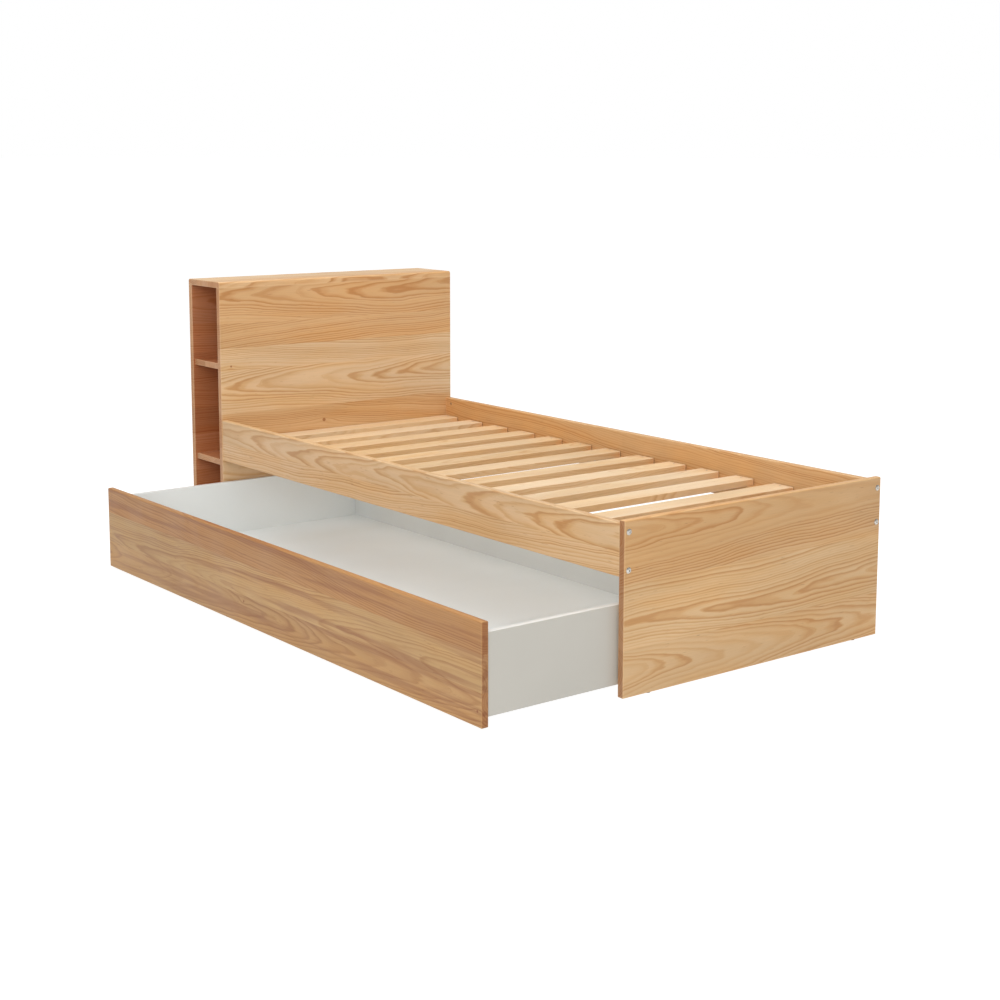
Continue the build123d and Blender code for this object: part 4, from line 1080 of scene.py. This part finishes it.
@dataclass
class CastorWheels:
    """The six wheels: a tread with a rib each side, a sunk web with pockets, and a hub."""

    facets: int = 48
    rim_wall: float = 0.0035
    web_sink: float = 0.0030
    hub_radius: float = 0.0060
    bore_radius: float = 0.0031
    pocket_count: int = 6
    pocket_sink: float = 0.0020
    pocket_share: float = 0.62
    pocket_lip: float = 0.0006
    groove_depth: float = 0.0008
    groove_lip: float = 0.0045
    edge: float = 0.0007
    edge_segments: int = 2
    edge_angle: float = 40.0
    smooth_angle: float = 35.0

    FLAT = 0.9
    UPRIGHT = 0.1
    CENTRE = 1e-4
    SMALLEST_TREAD = 2e-5

    def build(self, count: int) -> None:
        """Model one wheel, copy it to every castor and dress the copies.

        Args:
            count: How many castors there are.
        """
        first_low, first_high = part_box("castor_wheel_1")
        wheel = self.model(first_low, first_high)
        material = CASTOR_PLASTIC.material()
        wheel.data.materials.append(material)
        for number in range(1, count + 1):
            node = f"castor_wheel_{number}"
            low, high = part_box(node)
            copy = wheel
            if number > 1:
                copy = bpy.data.objects.new("wheel", wheel.data.copy())
                bpy.context.scene.collection.objects.link(copy)
                copy.data.transform(Matrix.Translation((low + high) / 2 - (first_low + first_high) / 2))
            copy.name = f"wheel_{number}"
            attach(copy, f"castor_{number}")
            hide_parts(node)
            log.info("made %s", copy.name)

    def model(self, low: Vector, high: Vector) -> bpy.types.Object:
        """Model one wheel on the X axis.

        Args:
            low: Lowest corner of the space that it fills.
            high: Highest corner.

        Returns:
            The wheel, its place in its mesh.
        """
        middle, radius, width = (low + high) / 2, (high.z - low.z) / 2, high.x - low.x
        bpy.ops.object.select_all(action="DESELECT")
        bpy.ops.mesh.primitive_cylinder_add(
            vertices=self.facets,
            radius=radius,
            depth=width,
            location=middle,
            rotation=(0, math.pi / 2, 0),
        )
        wheel = bpy.context.object
        bpy.ops.object.transform_apply(location=True, rotation=True, scale=True)
        bpy.ops.object.mode_set(mode="EDIT")
        bpy.ops.mesh.select_mode(type="FACE")
        for side in (-1, 1):
            self.shape_side(wheel, side, middle, radius)
        self.bore_hub(wheel, middle)
        self.cut_groove(wheel)
        bpy.ops.object.mode_set(mode="OBJECT")
        bevel = wheel.modifiers.new("soft_edges", "BEVEL")
        bevel.width, bevel.segments, bevel.limit_method = self.edge, self.edge_segments, "ANGLE"
        bevel.angle_limit = math.radians(self.edge_angle)
        bpy.ops.object.modifier_apply(modifier=bevel.name)
        bpy.ops.object.shade_smooth_by_angle(angle=math.radians(self.smooth_angle))
        return wheel

    def shape_side(self, wheel: bpy.types.Object, side: int, middle: Vector, radius: float) -> None:
        """Sink the web of one side and raise its hub.

        Args:
            wheel: The wheel, in edit mode.
            side: -1 or 1 along X.
            middle: The wheel's middle.
            radius: The wheel's radius.
        """
        self.choose(wheel, lambda face: face.normal.x * side > self.FLAT)
        bpy.ops.mesh.inset(thickness=self.rim_wall)
        bpy.ops.mesh.extrude_region_move(TRANSFORM_OT_translate={"value": (-side * self.web_sink, 0, 0)})
        bpy.ops.mesh.inset(thickness=radius - self.rim_wall - self.hub_radius)
        bpy.ops.mesh.extrude_region_move(TRANSFORM_OT_translate={"value": (side * self.web_sink, 0, 0)})

        def in_pocket(face: bpy.types.MeshPolygon) -> bool:
            """Whether a web face belongs to a pocket between two spokes."""
            away = face.center - middle
            distance = math.hypot(away.y, away.z)
            turn = (math.atan2(away.z, away.y) / (2 * math.pi) * self.pocket_count) % 1.0
            on_web = self.hub_radius < distance < radius - self.rim_wall
            return on_web and face.normal.x * side > self.FLAT and turn < self.pocket_share

        self.choose(wheel, in_pocket)
        bpy.ops.mesh.inset(thickness=self.pocket_lip)
        bpy.ops.mesh.extrude_region_move(TRANSFORM_OT_translate={"value": (-side * self.pocket_sink, 0, 0)})

    def bore_hub(self, wheel: bpy.types.Object, middle: Vector) -> None:
        """Open the bore for the axle through both hub faces.

        Args:
            wheel: The wheel, in edit mode.
            middle: The wheel's middle.
        """
        def hub_face(face: bpy.types.MeshPolygon) -> bool:
            """Whether a face is the flat end of the hub."""
            away = face.center - middle
            return abs(face.normal.x) > self.FLAT and math.hypot(away.y, away.z) < self.CENTRE

        self.choose(wheel, hub_face)
        bpy.ops.mesh.inset(thickness=self.hub_radius - self.bore_radius)
        bpy.ops.mesh.bridge_edge_loops()

    def cut_groove(self, wheel: bpy.types.Object) -> None:
        """Cut one shallow groove round the tread."""
        self.choose(wheel, lambda face: abs(face.normal.x) < self.UPRIGHT and face.area > self.SMALLEST_TREAD)
        bpy.ops.mesh.inset(thickness=self.groove_lip)
        bpy.ops.mesh.extrude_region_shrink_fatten(
            TRANSFORM_OT_shrink_fatten={"value": -self.groove_depth}
        )

    def choose(self, wheel: bpy.types.Object, wanted: Any) -> None:
        """Select the faces of a mesh in edit mode that pass a test.

        Args:
            wheel: The object, in edit mode.
            wanted: A test of one face.
        """
        bpy.ops.object.mode_set(mode="OBJECT")
        for part in (wheel.data.polygons, wheel.data.edges, wheel.data.vertices):
            for item in part:
                item.select = False
        for face in wheel.data.polygons:
            face.select = wanted(face)
        bpy.ops.object.mode_set(mode="EDIT")


# ---------------------------------------------------------------- studio
@dataclass(frozen=True)
class SoftLight:
    """One square soft light: where it hangs, what it points at, its side in metres and its watts."""

    name: str
    place: tuple[float, float, float]
    target: tuple[float, float, float]
    size: float
    power: float


@dataclass
class Studio:
    """Floor, lights and camera.

    Places in the sky run from 0, straight down, to 1, straight up, and its levels are brightnesses.
    """

    eye: Vector = field(default_factory=lambda: Vector((4.158, -2.972, 1.3336)))
    heading: float = 51.748
    down: float = 8.236
    roll: float = 0.189
    lens: float = 61.56
    shift: tuple[float, float] = (-0.0237, -0.100)
    floor_size: float = 600.0
    glow: float = 0.93
    sky_above: float = 0.42
    sky_below: float = 0.60
    sky_band: float = 0.05
    sky_foot: float = 0.484
    sky_white: float = 0.494
    lamps: tuple[SoftLight, ...] = (
        SoftLight("overhead", (0.2, -0.3, 4.2), (0, 0, 0), 6.0, 190.0),
        SoftLight("near_side", (4.2, -4.0, 2.6), (0.2, 0, 0.3), 3.0, 125.0),
    )

    MOTTLE_SCALE = 0.6
    MOTTLE_SHADE = Step(0.3, 0.7, 0.985, 1.0)
    FLOOR_ALBEDO = 0.3
    HORIZON = 0.5
    SKY_FADE = 1.5
    SENSOR = 36.0
    NEAREST = 0.05

    def build(self) -> None:
        """Make the floor, the lights and the camera."""
        self.floor()
        self.lights()
        self.camera()

    def floor(self) -> None:
        """Lay a pale floor at height 0."""
        bpy.ops.object.select_all(action="DESELECT")
        bpy.ops.mesh.primitive_plane_add(size=self.floor_size, location=(0, 0, 0))
        floor = bpy.context.object
        floor.name = "studio_floor"
        g = Graph("studio_floor")
        mottle = g.rise(g.noise(g.place.outputs["Object"], self.MOTTLE_SCALE), *self.MOTTLE_SHADE)
        white = g.shade(srgb(252, 252, 252), mottle)
        floor.data.materials.append(g.surface(
            Base_Color=g.blend(1.0, white, grey(self.FLOOR_ALBEDO), "MULTIPLY"),
            Roughness=0.9,
            Specular_IOR_Level=0.1,
            Emission_Color=white,
            Emission_Strength=self.glow,
        ))
        floor.visible_diffuse = False

    def lights(self) -> None:
        """A soft sky that is white at the horizon, a broad light overhead and one at the near side."""
        world = bpy.data.worlds.new("studio_sky")
        bpy.context.scene.world = world
        world.use_nodes = True
        tree = world.node_tree
        place = tree.nodes.new("ShaderNodeTexCoord")
        parts = tree.nodes.new("ShaderNodeSeparateXYZ")
        share = tree.nodes.new("ShaderNodeMapRange")
        share.inputs["From Min"].default_value = -1.0
        ramp = tree.nodes.new("ShaderNodeValToRGB")
        tree.links.new(place.outputs["Generated"], parts.inputs[0])
        tree.links.new(parts.outputs[2], share.inputs["Value"])
        tree.links.new(share.outputs[0], ramp.inputs[0])
        marks = ramp.color_ramp.elements
        marks[0].position, marks[0].color = self.sky_foot, grey(self.sky_below)
        marks[1].position, marks[1].color = self.HORIZON + self.SKY_FADE * self.sky_band, grey(self.sky_above)
        for mark in (self.sky_white, self.HORIZON + self.sky_band):
            marks.new(mark).color = grey(1.0)
        tree.links.new(ramp.outputs[0], tree.nodes["Background"].inputs["Color"])
        for lamp in self.lamps:
            self.hang(lamp)

    def hang(self, lamp: SoftLight) -> None:
        """Hang one soft light.

        Args:
            lamp: The light.
        """
        data = bpy.data.lights.new(lamp.name, "AREA")
        data.shape, data.size, data.energy = "SQUARE", lamp.size, lamp.power
        light = bpy.data.objects.new(lamp.name, data)
        light.location = lamp.place
        aim = Vector(lamp.target) - Vector(lamp.place)
        light.rotation_euler = aim.to_track_quat("-Z", "Y").to_euler()
        bpy.context.scene.collection.objects.link(light)

    def camera(self) -> None:
        """Stand the camera at the foot end, a little above the bed and looking slightly down."""
        turn, tilt, lean = (math.radians(value) for value in (self.heading, self.down, self.roll))
        ahead = Vector((-math.sin(turn) * math.cos(tilt), math.cos(turn) * math.cos(tilt), -math.sin(tilt)))
        level = Vector((math.cos(turn), math.sin(turn), 0))
        upright = level.cross(ahead)
        right = math.cos(lean) * level + math.sin(lean) * upright
        up = -math.sin(lean) * level + math.cos(lean) * upright
        data = bpy.data.cameras.new("studio_camera")
        data.sensor_width, data.lens = self.SENSOR, self.lens
        data.shift_x, data.shift_y = self.shift
        data.clip_start, data.clip_end = self.NEAREST, 2 * self.floor_size
        camera = bpy.data.objects.new("studio_camera", data)
        rotation = Matrix((right, up, -ahead)).transposed().to_4x4()
        camera.matrix_world = Matrix.Translation(self.eye) @ rotation
        bpy.context.scene.collection.objects.link(camera)
        bpy.context.scene.camera = camera
        settings = bpy.context.scene.view_settings
        settings.view_transform, settings.look = "Standard", "None"


def main() -> None:
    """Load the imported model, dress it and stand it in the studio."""
    logging.basicConfig(level=logging.INFO, format="%(name)s: %(message)s")
    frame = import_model()
    nodes = frame["nodes"]
    for assembly in (Headboard, BedFrame, SlattedBase, Drawer, Fittings):
        assembly(nodes).build()
    CastorWheels().build(sum(name.startswith("castor_wheel") for name in nodes))
    Studio().build()


if __name__ == "__main__":
    main()
